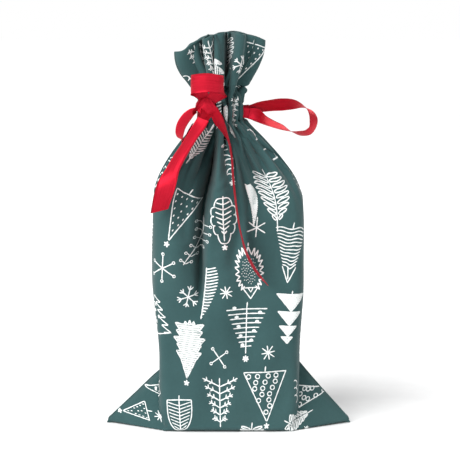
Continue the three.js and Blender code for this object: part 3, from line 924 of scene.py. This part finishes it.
def row_at(h):
    return int(round(h / CLOTH_TOP * (FINE_ROWS - 1)))


def cloth_piece(name, panel, low, high, thickness, opening=None):
    """A band of one panel between two heights of the flat cloth, with its thickness inwards."""
    first, last = row_at(low), row_at(high)
    points = CLOTH[panel, first : last + 1]
    s = np.linspace(-HALF, HALF, FINE_COLUMNS)
    h = np.linspace(0, CLOTH_TOP, FINE_ROWS)[first : last + 1]
    uv = np.stack(np.meshgrid(s, h), -1)
    rows, columns = points.shape[:2]
    keep = np.ones((rows - 1, columns - 1), bool)
    if opening:
        keep &= ~opening(rows - 1, columns - 1)
    builder = Builder()
    builder.add(points, grid_faces(rows, columns, flip=panel == 1, keep=keep), uv)
    piece = builder.make(name, cotton)
    solid = piece.modifiers.new("cloth_thickness", "SOLIDIFY")
    solid.thickness = thickness
    solid.offset = -1
    return piece


def slot_at_right(rows, columns):
    row, column = np.mgrid[0:rows, 0:columns]
    return (column > columns - 5) & (row > 1) & (row < rows - 2)


def make_cloth():
    for panel, side in ((0, "front"), (1, "back")):
        piece = cloth_piece(f"{side}_cloth", panel, 0, CASING_LOW, BODY_THICKNESS)
        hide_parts(f"{side}_panel")
        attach(piece, "bag")
        casing = cloth_piece(
            f"{side}_casing_cloth", panel, CASING_LOW, CASING_HIGH, CASING_THICKNESS, slot_at_right
        )
        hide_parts(f"{side}_casing")
        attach(casing, "bag")
        frill = cloth_piece(f"{side}_frill_cloth", panel, CASING_HIGH, CLOTH_TOP, FRILL_THICKNESS)
        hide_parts(f"{side}_frill")
        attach(frill, "bag")


make_cloth()


def on_cloth(panel, s, h, lift):
    """Points on the settled cloth. s past a side seam carries on over the other panel."""
    s = np.asarray(s, float)
    h = np.clip(np.asarray(h, float), 0, CLOTH_TOP)
    over = np.abs(s) > HALF
    which = np.where(over, 1 - panel, panel)
    s = np.where(over, np.sign(s) * 2 * HALF - s, s)
    column = np.clip((s + HALF) / PANEL_WIDTH * (FINE_COLUMNS - 1), 0, FINE_COLUMNS - 1.001)
    row = np.clip(h / CLOTH_TOP * (FINE_ROWS - 1), 0, FINE_ROWS - 1.001)
    i, j = row.astype(int), column.astype(int)
    u, v = (row - i)[..., None], (column - j)[..., None]

    def sample(field):
        low = field[which, i, j] * (1 - v) + field[which, i, j + 1] * v
        high = field[which, i + 1, j] * (1 - v) + field[which, i + 1, j + 1] * v
        return low * (1 - u) + high * u

    return sample(CLOTH) + unit(sample(NORMAL)) * lift


# ---------------------------------------------------------------- stitches and seams


def stitch_row(name, node_name, h):
    builder = Builder()
    pitch, stitch = 0.0034, 0.0024
    rise, radius = 0.00025, 0.00032
    count = int(PANEL_WIDTH / pitch)
    for panel in (0, 1):
        for k in range(count):
            middle = -HALF + (k + 0.5) * PANEL_WIDTH / count
            s = middle + stitch * np.linspace(-0.5, 0.5, 5)
            lift = rise * np.sin(math.pi * np.linspace(0.05, 0.95, 5))[:, None]
            builder.add(*tube(on_cloth(panel, s, np.full(5, h), lift), radius))
    piece = builder.make(name, thread)
    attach(piece, "bag")
    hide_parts(node_name)


def seam(name, node_name, s, h):
    builder = Builder()
    builder.add(*tube(on_cloth(0, s, h, 0.0), 0.0006, 8))
    piece = builder.make(name, seam_cotton)
    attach(piece, "bag")
    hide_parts(node_name)


def make_seams():
    stitch_row("lower_stitches", "lower_casing_stitches", CASING_LOW)
    stitch_row("upper_stitches", "upper_casing_stitches", CASING_HIGH)
    body = np.linspace(0.002, CASING_LOW, 200)
    frill = np.linspace(CASING_HIGH, CLOTH_TOP, 50)
    for side, edge in (("left", -HALF), ("right", HALF)):
        seam(f"{side}_seam", f"{side}_side_seam", np.full(200, edge), body)
        seam(f"{side}_frill_edge_seam", f"{side}_frill_seam", np.full(50, edge), frill)
    across = np.linspace(-HALF, HALF, 120)
    seam("base_seam", "bottom_seam", across, np.zeros(120))


make_seams()


# ---------------------------------------------------------------- the ribbon in the casing and the knot


def make_casing_ribbon():
    """The gathered ribbon behind each casing, its end out to the pull loop and its end in to the knot."""
    rows, columns = 6, 180
    for panel, side in ((0, "front"), (1, "back")):
        h = np.linspace(CASING_LOW + 0.003, CASING_HIGH - 0.003, rows)
        s = np.linspace(-HALF, HALF, columns)
        grid_s, grid_h = np.meshgrid(s, h)
        points = on_cloth(panel, grid_s, grid_h, -0.0024)
        builder = Builder()
        builder.add(points, grid_faces(rows, columns, flip=panel == 1), np.stack([grid_s, grid_h], -1))
        turn = 1 if panel else -1
        height = 276.4 if panel else 273.6
        to_pull_loop = [
            ((6.5, turn * 1.6, 275), (0, 0, 1)),
            ((10, turn * 2.2, 275), (0, 0, 1)),
            ((14, turn * 2.6, (275 + height) / 2), (0, -0.05, 1)),
            ((18.2, turn * 2.6, height), (0, -turn * 0.12, 1)),
        ]
        add_ribbon(builder, to_pull_loop, 12, pinch=(0.6, 0.6))
        out = 3.5 * panel
        to_knot = [
            ((-19 - out, -7 + out / 2, 275), (0, 0, 1)),
            ((-22.5 - out, -10, 275.5), (0, 0, 1)),
            ((-22.5 - out, -15, 277), (0.1, 0, 1)),
            ((-21 - out / 2, -19, 279), (0.2, 0, 1)),
        ]
        add_ribbon(builder, to_knot, 12, pinch=(0.7, 0.6))
        piece = builder.make(f"{side}_ribbon_in_casing", satin)
        solid = piece.modifiers.new("ribbon_thickness", "SOLIDIFY")
        solid.thickness = RIBBON_THICKNESS
        solid.offset = -1
        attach(piece, "bag")
        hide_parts(f"{side}_casing_ribbon")


def make_knot():
    builder = Builder()
    rings, sides = 20, 30
    polar = np.linspace(0.02, math.pi - 0.02, rings)[:, None]
    around = np.linspace(0, 2 * math.pi, sides + 1)[None, :]
    fold = 1 + 0.07 * np.sin(3 * around + 4 * polar) + 0.05 * np.sin(5 * around - 6 * polar)
    lump = np.stack(
        [
            5.0 * np.sin(polar) * np.cos(around) * fold,
            4.2 * np.sin(polar) * np.sin(around) * fold,
            6.4 * np.cos(polar) * fold,
        ],
        -1,
    )
    tilt = np.array(Matrix.Rotation(math.radians(-20), 3, "Y"))
    points = (lump @ tilt.T + np.array([-19.5, -21.5, 280.5])) * MM
    uv = np.stack(np.broadcast_arrays(polar * 0.006, around * 0.005), -1)
    builder.add(points, grid_faces(rings, sides + 1, flip=True), uv)
    over = [
        ((-25.3, -18, 287), (0.6, -0.1, 0.75)),
        ((-24.4, -23.6, 286.2), (0.6, -0.05, 0.75)),
        ((-21, -27.2, 282.8), (0.65, 0, 0.75)),
        ((-16.6, -28, 279.2), (0.62, -0.1, 0.75)),
        ((-13.4, -27.2, 277.4), (0.58, -0.25, 0.7)),
        ((-11.6, -26.6, 276), (0.55, -0.35, 0.65)),
    ]
    under = [
        ((-14, -20, 286), (0.6, 0.1, -0.8)),
        ((-15.8, -25, 284.6), (0.6, 0.2, -0.8)),
        ((-20.5, -26, 280.6), (0.45, 0.4, -0.8)),
        ((-25, -24, 278.6), (0.1, 0.75, -0.3)),
        ((-28.2, -20.8, 277.6), (-0.2, 0.9, 0.4)),
    ]
    down = [
        ((-18.5, -22, 280), (0.75, 0.4, -0.3)),
        ((-19, -27, 277), (0.7, 0.5, -0.3)),
        ((-20.3, -29.8, 273.8), (0.62, 0.6, -0.3)),
        ((-21.8, -31.2, 271), (0.6, 0.6, -0.3)),
    ]
    up_left = [
        ((-20, -21, 283), (0.9, -0.3, 0.1)),
        ((-21, -23.4, 285), (0.8, -0.3, 0.3)),
        ((-22.2, -24.8, 287.4), (0.65, -0.35, 0.5)),
    ]
    up_right = [
        ((-18, -21.5, 283), (-0.9, -0.3, 0.1)),
        ((-16.6, -24, 285), (-0.75, -0.4, 0.3)),
        ((-14.7, -25.7, 286.9), (-0.6, -0.4, 0.55)),
    ]
    for band, steps, pinch, camber in (
        (over, 36, (0.55, 0.65), 0.0012),
        (under, 36, (0.6, 0.72), 0.001),
        (down, 24, (0.6, 0.7), 0.0008),
        (up_left, 16, (0.6, 0.7), 0.0004),
        (up_right, 16, (0.6, 0.7), 0.0004),
    ):
        add_ribbon(builder, band, steps, pinch=pinch, camber=camber)
    piece = builder.make("satin_knot", satin)
    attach(piece, "bag")
    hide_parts("bow_knot")


make_casing_ribbon()
make_knot()


# ---------------------------------------------------------------- the print
#
# A motif is a list of pen strokes in millimetres about its own centre. Each stroke is its points and
# its width. Trees hang upside down on the cloth, trunk up, as the print does.


def line(*points, width=1.0):
    return (np.array(points, float), width)


def curve(function, count, width=1.0):
    return (np.array([function(t) for t in np.linspace(0, 1, count)], float), width)


def ring(x, y, radius, width=0.8):
    return curve(
        lambda t: (x + radius * math.cos(2 * math.pi * t), y + radius * math.sin(2 * math.pi * t)), 13, width
    )


def star(x, y, radius=2.6, arms=5):
    strokes = []
    for k in range(arms):
        angle = math.pi / 2 + 2 * math.pi * k / arms
        strokes.append(line((x, y), (x + radius * math.cos(angle), y + radius * math.sin(angle)), width=1.5))
    return strokes


def snowflake(radius, arms, ends="plain"):
    strokes = []
    for k in range(arms):
        angle = 2 * math.pi * (k + 0.25) / arms
        reach = radius * (1 if k % 2 else 0.9)
        c, s = math.cos(angle), math.sin(angle)
        strokes.append(line((0, 0), (reach * c, reach * s)))
        if ends == "ring":
            strokes.append(ring((reach + 1.2) * c, (reach + 1.2) * s, 1.2, 0.9))
        if ends == "fork":
            for turn in (-0.7, 0.7):
                fork_x, fork_y = reach * 0.6 * c, reach * 0.6 * s
                aside, up = math.cos(angle + turn), math.sin(angle + turn)
                end = (fork_x + 0.4 * reach * aside, fork_y + 0.4 * reach * up)
                strokes.append(line((fork_x, fork_y), end))
    return strokes


def trunk(top, lean=0.8, size=5):
    return line((0, top), (lean, top + size))


def triangle_tree(width, height, filling):
    """A hanging triangle with a star under its tip, filled with dashes, rings or a zigzag."""
    top, tip = height / 2, -height / 2
    half = width / 2
    strokes = [line((-half, top), (half, top - 0.6))]
    strokes += [line((half, top), (0.5, tip)), line((-half, top), (0, tip)), trunk(top)]
    rows = 7 if filling == "rings" else 6
    for row in range(rows):
        y = top - (row + 0.7) * height / (rows + 1.2)
        room = half * (y - tip) / height - 2
        count = max(int(room * 2 / 4.2), 0) + 1
        for k in range(count):
            x = 0 if count == 1 else -room + 2 * room * k / (count - 1)
            if filling == "dashes":
                strokes.append(line((x, y - 0.9), (x + 0.4, y + 0.9), width=1.1))
            elif filling == "rings" and (row + k) % 2 == 0:
                strokes.append(ring(x * 0.95 + 0.8 * math.sin(5 * k + row), y, 2.0, 1.0))
        if filling == "zigzag" and room > 1:
            strokes.append(curve(lambda t: (room * (2 * t - 1), y + 1.4 * (-1) ** round(t * 8)), 9, 0.9))
    return strokes + star(0, tip - 4)


def leaf(width, height, pairs, looped=False, spine=True):
    """A hanging leaf: a stem with slanting barbs or long loops on both sides."""
    strokes = []
    top, tip = height / 2, -height / 2
    if spine:
        strokes.append(line((0.3, top + 4), (0, top), (-0.6, 0), (0, tip)))
    for k in range(pairs):
        share = (k + 0.4) / pairs
        y = top - share * (height * 0.82)
        reach = width / 2 * math.sin(math.pi * min(0.25 + share * 0.75, 0.95)) ** 0.7
        slope = 0.28 * reach + 2.5 * share
        for side in (-1, 1):
            if looped:
                gap = height / pairs * 0.27

                def loop(t, side=side, y=y, reach=reach, slope=slope, gap=gap):
                    angle = 2 * math.pi * t
                    along = 0.5 - 0.5 * math.cos(angle)
                    return side * (0.8 + reach * along), y + slope * (along - 0.4) + gap * math.sin(angle)

                strokes.append(curve(loop, 15, 1.05))
            else:
                strokes.append(line((0, y - slope), (side * reach, y), width=1.1))
    return strokes


def herringbone_leaf(width, height):
    strokes = leaf(width * 0.66, height * 0.9, 7)

    def rim(t):
        down = abs(2 * t - 1)
        lobes = 0.72 + 0.34 * abs(math.sin(5 * math.pi * down))
        half = width / 2 * math.sin(math.pi * down**0.8) ** 0.6 * lobes
        return math.copysign(half, t - 0.5), height * (0.5 - down) + 1.6 * math.sin(10 * math.pi * down)

    return strokes + [curve(rim, 90)] + star(0, -height / 2 - 3.5)


def feather(height, bend, reach, solid=False):
    """A curved quill with short barbs. A solid one is scribbled full on one side."""
    strokes = []

    def quill(t):
        return bend * math.sin(math.pi * t * 0.5), height / 2 - height * t

    strokes.append(curve(quill, 12, 1.1))
    count = int(height / (1.3 if solid else 2.6))
    for k in range(count):
        t = (k + 0.5) / count
        x, y = quill(t)
        size = reach * math.sin(math.pi * (0.12 + 0.86 * t) ** 0.7)
        strokes.append(line((x, y), (x + size * 0.9, y + size * 0.45), width=1.4 if solid else 1.1))
        if solid:
            strokes.append(line((x, y), (x - size * 0.4, y + size * 0.3), width=1.4))
    return strokes


def squiggle_tree(width, height):
    turns = 9

    def zigzag(t):
        swing = width / 2 * (1 - 0.85 * t) * math.sin(math.pi * turns * t)
        return swing, height / 2 - height * t + 1.2 * math.cos(2 * math.pi * turns * t)

    return [curve(zigzag, 90), trunk(height / 2)] + star(0, -height / 2 - 3)


def wavy_tree(width, height):
    strokes = [trunk(height / 2)]
    rows = 12
    for row in range(rows):
        y = height / 2 - row * height * 0.72 / rows
        half = width / 2 * (1 - 0.055 * row)
        sag = 0.3 * row

        def wave(t, half=half, y=y, sag=sag, row=row):
            ripple = 0.6 * math.sin(2 * math.pi * (1.6 * t + 0.07 * row))
            return half * (2 * t - 1), y + ripple - sag * (1 - abs(2 * t - 1))

        strokes.append(curve(wave, 15))
    low = height / 2 - height * 0.7
    strokes.append(line((-width * 0.2, low), (0, -height / 2), (width * 0.2, low)))
    return strokes + [line((-1, low), (0, -height / 2 + 3))]


def spiky_leaf(width, height):
    """A hanging drop with spikes all round it, dots inside and a small triangle at its tip."""
    strokes = []
    rim = []
    count = 19
    for k in range(count * 2 + 1):
        angle = math.radians(-158 + 316 * k / (count * 2))
        reach = 1.0 if k % 2 else 0.7
        side = math.copysign(abs(math.sin(angle)) ** 0.65, math.sin(angle))
        up = 0.03 + 0.44 * reach * math.cos(angle) + 0.02 * (k % 2)
        rim.append((width * 0.46 * reach * side, height * up))
    strokes.append(line(*rim, width=1.1))
    strokes.append(trunk(height / 2, 0.4, 3))
    dots = 60
    for k in range(dots):
        angle = 2.4 * k
        radius = width * 0.28 * math.sqrt((k + 1) / dots)
        x, y = radius * 0.9 * math.cos(angle), height * 0.04 + radius * 1.6 * math.sin(angle)
        strokes.append(line((x, y - 0.35), (x, y + 0.35), width=0.75))
    low = -height * 0.29
    strokes.append(line((-width * 0.24, low), (0, -height / 2), (width * 0.24, low), (-width * 0.24, low)))
    strokes.append(line((-2, low), (0.4, low - 4), (2.4, low), width=0.8))
    return strokes


def bar_tree(width, height):
    strokes = [line((0.4, height / 2 + 5), (0, height / 2), (0, -height / 2))]
    rows = 9
    for row in range(rows):
        share = row / rows
        y = height / 2 - 1 - share * height * 0.92
        half = width / 2 * (1 - 0.8 * share)
        strokes.append(line((-half, y - 0.4), (half, y + 0.5)))
        x = half * (0.72 if row % 2 else -0.6)

        def bell(t, x=x, y=y):
            return x + 1.5 * math.cos(math.pi * t), y + 0.6 + 1.5 * math.sin(math.pi * t)

        strokes.append(curve(bell, 7, 1.5))
        strokes.append(line((x - 0.9, y + 0.8), (x + 0.9, y + 0.8), width=1.4))
    return strokes + star(0, -height / 2 - 4.5, 3, 7)


def scribble(corners, spacing=1.35, width=1.45):
    """Fills a convex or star-shaped outline with level pen strokes."""
    corners = np.array(corners, float)
    strokes = [(np.concatenate([corners, corners[:1]]), 1.0)]
    low, high = corners[:, 1].min(), corners[:, 1].max()
    after = np.roll(corners, -1, axis=0)
    y = low + spacing * 0.6
    while y < high:
        cut = (corners[:, 1] - y) * (after[:, 1] - y) < 0
        a, b = corners[cut], after[cut]
        x = np.sort(a[:, 0] + (b[:, 0] - a[:, 0]) * (y - a[:, 1]) / (b[:, 1] - a[:, 1]))
        for left, right in zip(x[::2], x[1::2]):
            if right - left > 0.8:
                strokes.append(line((left, y), (right, y + 0.25), width=width))
        y += spacing
    return strokes


def stacked_triangles(width, height):
    strokes = [trunk(height / 2, 0.4, 3)]
    y = height / 2
    for share in (1.0, 0.82, 0.62, 0.42):
        half, deep = width / 2 * share, height * 0.30 * share
        strokes += scribble([(-half, y), (half, y - 0.5), (0.8, y - deep)], 1.5, 1.5)
        y -= deep * 1.02
    return strokes


def jagged_tree(width, height):
    """A filled tree whose boughs end in points, with a spiky crown and a narrow tip."""
    left, right = [], []
    teeth = 6
    for k in range(teeth):
        share = (k + 0.3) / teeth
        reach = width / 2 * (1 - 0.16 * (k % 2)) * math.sin(math.pi * (0.28 + 0.66 * share)) ** 0.6
        y = height / 2 - height * 0.8 * share
        left += [(-reach, y + 3.5), (-reach * 0.68, y - 2.2)]
        right += [(reach, y + 4.5), (reach * 0.68, y - 1.4)]
    crown = [(5, height / 2 + 1), (3.5, height / 2 + 4.5), (1.5, height / 2 + 1), (0, height / 2 + 5.5)]
    crown += [(-1.5, height / 2 + 1), (-4, height / 2 + 4), (-5, height / 2 + 1)]
    corners = crown + left + [(0, -height / 2)] + right[::-1]
    return scribble(corners, 1.85, 1.5) + [line(*corners, corners[0], width=0.9)] + star(0, -height / 2 - 4)


def branching_tree(width, height):
    strokes = [line((-0.5, height / 2 + 4), (0, 0), (0.4, -height / 2))]
    rows = 6
    for row in range(rows):
        share = (row + 0.3) / rows
        y = height / 2 - share * height * 0.95
        reach = width / 2 * (1 - 0.75 * share)
        for side in (-1, 1):
            end = (side * reach, y + reach * 0.35)
            strokes.append(line((0, y - 2), end, width=1.1))
            for part in (0.45, 0.75):
                x0, y0 = end[0] * part, (y - 2) + (end[1] - y + 2) * part
                strokes.append(line((x0, y0), (x0 + side * 0.6, y0 + 3.2), width=1.0))
                strokes.append(line((x0, y0), (x0 + side * 3.0, y0 - 0.6), width=1.0))
    return strokes


def shield_leaf(width, height):
    half, top = width / 2, height / 2

    def rim(t):
        angle = math.pi * t
        return -half * math.cos(angle) * (0.9 + 0.1 * math.sin(angle)), top - height * math.sin(angle) ** 0.75

    strokes = [curve(rim, 30), line((-half * 0.9, top), (half * 0.9, top)), trunk(top, 0.3, 4)]
    strokes.append(line((0, top), (0, -top)))
    for k in range(8):
        y = top - (k + 0.6) * height * 0.11
        room = half * 0.9 * math.sqrt(max(1 - ((top - y) / height) ** 2, 0)) - 0.5
        for side in (-1, 1):
            strokes.append(line((0, y - 3.5), (side * room, y), width=0.8))
    return strokes


def berry_branch(height, reach):
    def stem(t):
        return 4 * math.sin(1.3 * math.pi * t) + 5 * (1 - t), height / 2 - height * t

    strokes = [curve(stem, 20, 0.9)]
    for k in range(6):
        t = (k + 0.6) / 6.2
        x, y = stem(t)
        for side in (-1, 1):
            end = (x + side * reach * (1 - 0.4 * t), y - 0.6)
            strokes.append(line((x, y - 3), end, width=0.8))
            strokes.append(ring(end[0] + side * 1.1, end[1], 1.1, 0.8))
    return strokes


def zigzag_tree(width, height):
    points = [(0.0, height / 2)]
    for k in range(5):
        share = (k + 1) / 5
        low = height / 2 - height * share
        points += [(width / 2 * (0.5 + 0.5 * share), low), (width * 0.2 * share, low + 1)]
    mirrored = [(-x, y) for x, y in points]
    strokes = [line(*points), line(*mirrored), line((-width / 2, -height / 2), (width / 2, -height / 2))]
    for x, y in ((-1.5, 4), (2.5, -2), (-3, -6), (0.5, 9)):
        strokes.append(ring(x, y, 1.0, 1.4))
    return strokes


def curls(count, size):
    strokes = []
    for k in range(count):
        y = (count / 2 - k) * size * 1.1

        def curl(t, k=k, y=y):
            return size * 0.5 * math.sin(5 * t) + k * 0.6, y - size * (1 - t) * math.cos(3 * t)

        strokes.append(curve(curl, 12))
    return strokes


INK_LIFT = 0.00016
STROKE_STEP = 0.0012
EDGE_MARGIN = 0.0005
HEADER_PRINT_LOW = 345  # millimetres up the flat cloth


def draw(builder, panel, at, strokes, turn=0.0, lift=INK_LIFT):
    """Lays the strokes on the cloth about a point of it, turned by some degrees, and gives them width."""
    angle = math.radians(turn)
    rotate = np.array([[math.cos(angle), math.sin(angle)], [-math.sin(angle), math.cos(angle)]])
    side = -1 if panel == 1 else 1
    for number, (points, width) in enumerate(strokes):
        points = points @ rotate * MM
        points[:, 0] *= side
        points = points + np.array(at) * MM
        step = np.linalg.norm(np.diff(points, axis=0), axis=1)
        length = np.concatenate([[0], np.cumsum(step)])
        count = max(int(length[-1] / STROKE_STEP), 1) + 1
        where = np.linspace(0, length[-1], count + 1)
        fine = np.stack([np.interp(where, length, points[:, k]) for k in (0, 1)], -1)
        ahead = unit(np.gradient(fine, axis=0))
        normal = np.stack([-ahead[:, 1], ahead[:, 0]], -1)
        wobble = 1 + 0.14 * np.sin(where * 900 + number * 1.7)
        half = width * MM / 2 * wobble
        half[0] *= 0.6
        half[-1] *= 0.6
        edges = np.stack([fine - normal * half[:, None], fine + normal * half[:, None]], 1)
        placed = on_cloth(panel, edges[..., 0], edges[..., 1], lift)
        inside = (edges[..., 1] > EDGE_MARGIN) & (edges[..., 1] < CLOTH_TOP - EDGE_MARGIN)
        faces = []
        for k in range(count):
            if inside[k].all() and inside[k + 1].all():
                faces.append([2 * k, 2 * k + 2, 2 * k + 3, 2 * k + 1])
        if faces:
            builder.add(placed.reshape(-1, 3), faces, edges.reshape(-1, 2))


# Motifs on the front: place on the flat cloth in millimetres (across, up from the bottom seam), turn.
FRONT_PRINT = [
    (triangle_tree(26, 42, "dashes"), (-43, 232), -24),
    (berry_branch(42, 5.5), (-31, 211), -13),
    (leaf(16, 36, 11), (-42, 296), -14),
    (herringbone_leaf(21, 40), (-4, 230), 2),
    (squiggle_tree(22, 40), (4, 285), 4),
    (feather(36, 3, 6, True), (19, 243), -2),
    (snowflake(9, 6), (24, 224), 10),
    (leaf(28, 50, 9, looped=True), (42, 245), 0),
    (curls(4, 9), (70, 292), 0),
    (wavy_tree(30, 46), (53, 199), -6),
    (spiky_leaf(27, 46), (18, 185), 3),
    (snowflake(6, 8), (-2, 168), 0),
    (feather(45, 5, 11), (-24, 167), -14),
    (snowflake(11, 6, "ring"), (-57, 188), 12),
    (snowflake(10, 6, "fork"), (-35, 163), 0),
    (zigzag_tree(24, 34), (-66, 147), 6),
    (jagged_tree(29, 46), (-37, 115), -5),
    (snowflake(8.5, 4, "ring"), (-9, 111), 12),
    (bar_tree(36, 40), (16, 134), 0),
    (snowflake(7, 8), (37, 115), 0),
    (stacked_triangles(27, 50), (54, 141), -2),
    (triangle_tree(40, 44, "rings"), (35, 76), 2),
    (branching_tree(34, 40), (-8, 69), 0),
    (shield_leaf(26, 27), (-46, 59), 3),
    (snowflake(6, 8), (-71, 50), 0),
    (triangle_tree(22, 34, "zigzag"), (-88, 74), -50),
    (triangle_tree(20, 26, "dashes"), (-90, 33), -35),
    (triangle_tree(22, 34, "rings"), (94, 52), 50),
    (leaf(16, 30, 8, looped=True), (70, 46), 66),
    (curls(3, 6), (66, 78), 0),
    (leaf(22, 30, 8, looped=True), (22, 34), 0),
    (jagged_tree(22, 32), (-24, 20), 0),
    (branching_tree(22, 30), (60, 16), 0),
    (triangle_tree(26, 40, "zigzag"), (-80, 262), 14),
    (bar_tree(24, 34), (-82, 208), 0),
    (snowflake(8, 8), (-62, 300), 0),
    (snowflake(7, 6, "fork"), (84, 224), 0),
    (triangle_tree(20, 30, "dashes"), (88, 262), 0),
    (herringbone_leaf(16, 30), (84, 168), 0),
    (branching_tree(22, 34), (84, 122), 0),
    (feather(30, 3, 5, True), (22, 318), 12),
    (leaf(14, 26, 8), (-12, 326), 0),
    (branching_tree(18, 26), (46, 326), 0),
    (berry_branch(26, 7), (-48, 336), 0),
    (leaf(38, 36, 7, looped=True), (14, 376), 0),
    (curls(3, 6), (-95, 360), 30),
    (triangle_tree(24, 38, "dashes"), (101, 374), 0),
    (branching_tree(18, 34), (-22, 376), 8),
    (snowflake(9, 6, "fork"), (44, 372), 8),
    (branching_tree(15, 40), (-79, 374), 4),
    (triangle_tree(20, 28, "dashes"), (78, 372), 0),
    (stacked_triangles(18, 34), (-100, 330), 0),
]


def back_print():
    """The same kinds of motif in rows on the back, each turned a little."""
    large = [
        triangle_tree(28, 40, "rings"),
        leaf(26, 38, 10, looped=True),
        branching_tree(30, 36),
        stacked_triangles(26, 44),
        herringbone_leaf(18, 36),
        jagged_tree(26, 40),
        bar_tree(32, 36),
        feather(40, 5, 6),
        spiky_leaf(24, 40),
        triangle_tree(24, 38, "dashes"),
        wavy_tree(26, 42),
        shield_leaf(26, 28),
        squiggle_tree(22, 38),
    ]
    small = [
        snowflake(5.5, 8),
        snowflake(6, 6, "ring"),
        snowflake(6, 6, "fork"),
        snowflake(6, 4, "ring"),
    ]
    random = np.random.default_rng(12)
    placed = []
    number = 0
    for row in range(8):
        for column in range(5):
            x = -84 + 42 * column + (18 if row % 2 else 0) + random.uniform(-3, 3)
            y = 26 + 50 * row + random.uniform(-4, 4)
            turns = random.uniform(-9, 9), random.uniform(0, 40)
            if x < 90:
                placed.append((large[(row * 7 + column * 3) % len(large)], (x, y), turns[0]))
            if x < 72:
                placed.append((small[number % len(small)], (x + 21, y + 3), turns[1]))
            number += 1
    return placed


def make_print():
    for panel, side, motifs in ((0, "front", FRONT_PRINT), (1, "back", back_print())):
        builder = Builder()
        for strokes, at, turn in motifs:
            draw(builder, panel, at, strokes, turn)
        # The header's cloth is turned down inside, so its print shows there upside down.
        for strokes, (x, y), turn in motifs:
            if y > HEADER_PRINT_LOW:
                turned_down = (-x, (CLOTH_TOP + CASING_HIGH) / MM - y)
                draw(builder, panel, turned_down, strokes, turn + 180, lift=-FRILL_THICKNESS - INK_LIFT)
        piece = builder.make(f"{side}_print", ink)
        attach(piece, "bag")


make_print()


# ---------------------------------------------------------------- stage and light


def make_stage():
    floor_material, tree, shader = new_material("pale_floor")
    speckle = noise(tree, place_map(tree), 40.0)
    tone = ramp(tree, speckle, [(0.3, (0.92, 0.92, 0.92)), (0.7, (0.95, 0.95, 0.95))])
    tree.links.new(tone, shader.inputs["Base Color"])
    shader.inputs["Roughness"].default_value = 0.8
    bpy.ops.mesh.primitive_plane_add(size=12, location=(0, 0, -0.0002))
    floor = bpy.context.object
    floor.name = "floor"
    floor.data.materials.append(floor_material)


def add_light(data, location, ray):
    light = bpy.data.objects.new(data.name, data)
    light.location = location
    light.rotation_euler = ray.to_track_quat("-Z", "Y").to_euler()
    bpy.context.scene.collection.objects.link(light)


def area_light(name, location, size, energy):
    """A square light aimed at the middle of the bag."""
    data = bpy.data.lights.new(name, "AREA")
    data.energy = energy
    data.size = size
    add_light(data, location, Vector((0, 0, 0.16)) - Vector(location))


def sun(name, towards, energy, spread):
    data = bpy.data.lights.new(name, "SUN")
    data.energy = energy
    data.angle = math.radians(spread)
    add_light(data, (0, 0, 0), -Vector(towards))


def make_light():
    world = bpy.data.worlds.new("studio")
    bpy.context.scene.world = world
    world.use_nodes = True
    tree = world.node_tree
    background = tree.nodes["Background"]
    background.inputs["Color"].default_value = (1.0, 1.0, 1.0, 1)
    # The backdrop looks white, and gives a softer light than that.
    seen = node(tree, "ShaderNodeLightPath").outputs["Is Camera Ray"]
    strength = node(tree, "ShaderNodeMapRange")
    strength.inputs["To Min"].default_value = 0.35
    strength.inputs["To Max"].default_value = 1.0
    tree.links.new(seen, strength.inputs["Value"])
    tree.links.new(strength.outputs["Result"], background.inputs["Strength"])
    sun("key", towards=(-0.78, -0.8, 1.0), energy=3.8, spread=46)
    area_light("fill", location=(1.6, -1.3, 0.9), size=1.0, energy=7)
    area_light("back", location=(0.8, 1.5, 1.2), size=1.0, energy=14)


make_stage()
make_light()
bpy.context.scene.view_settings.view_transform = "Standard"


bpy.context.view_layer.update()
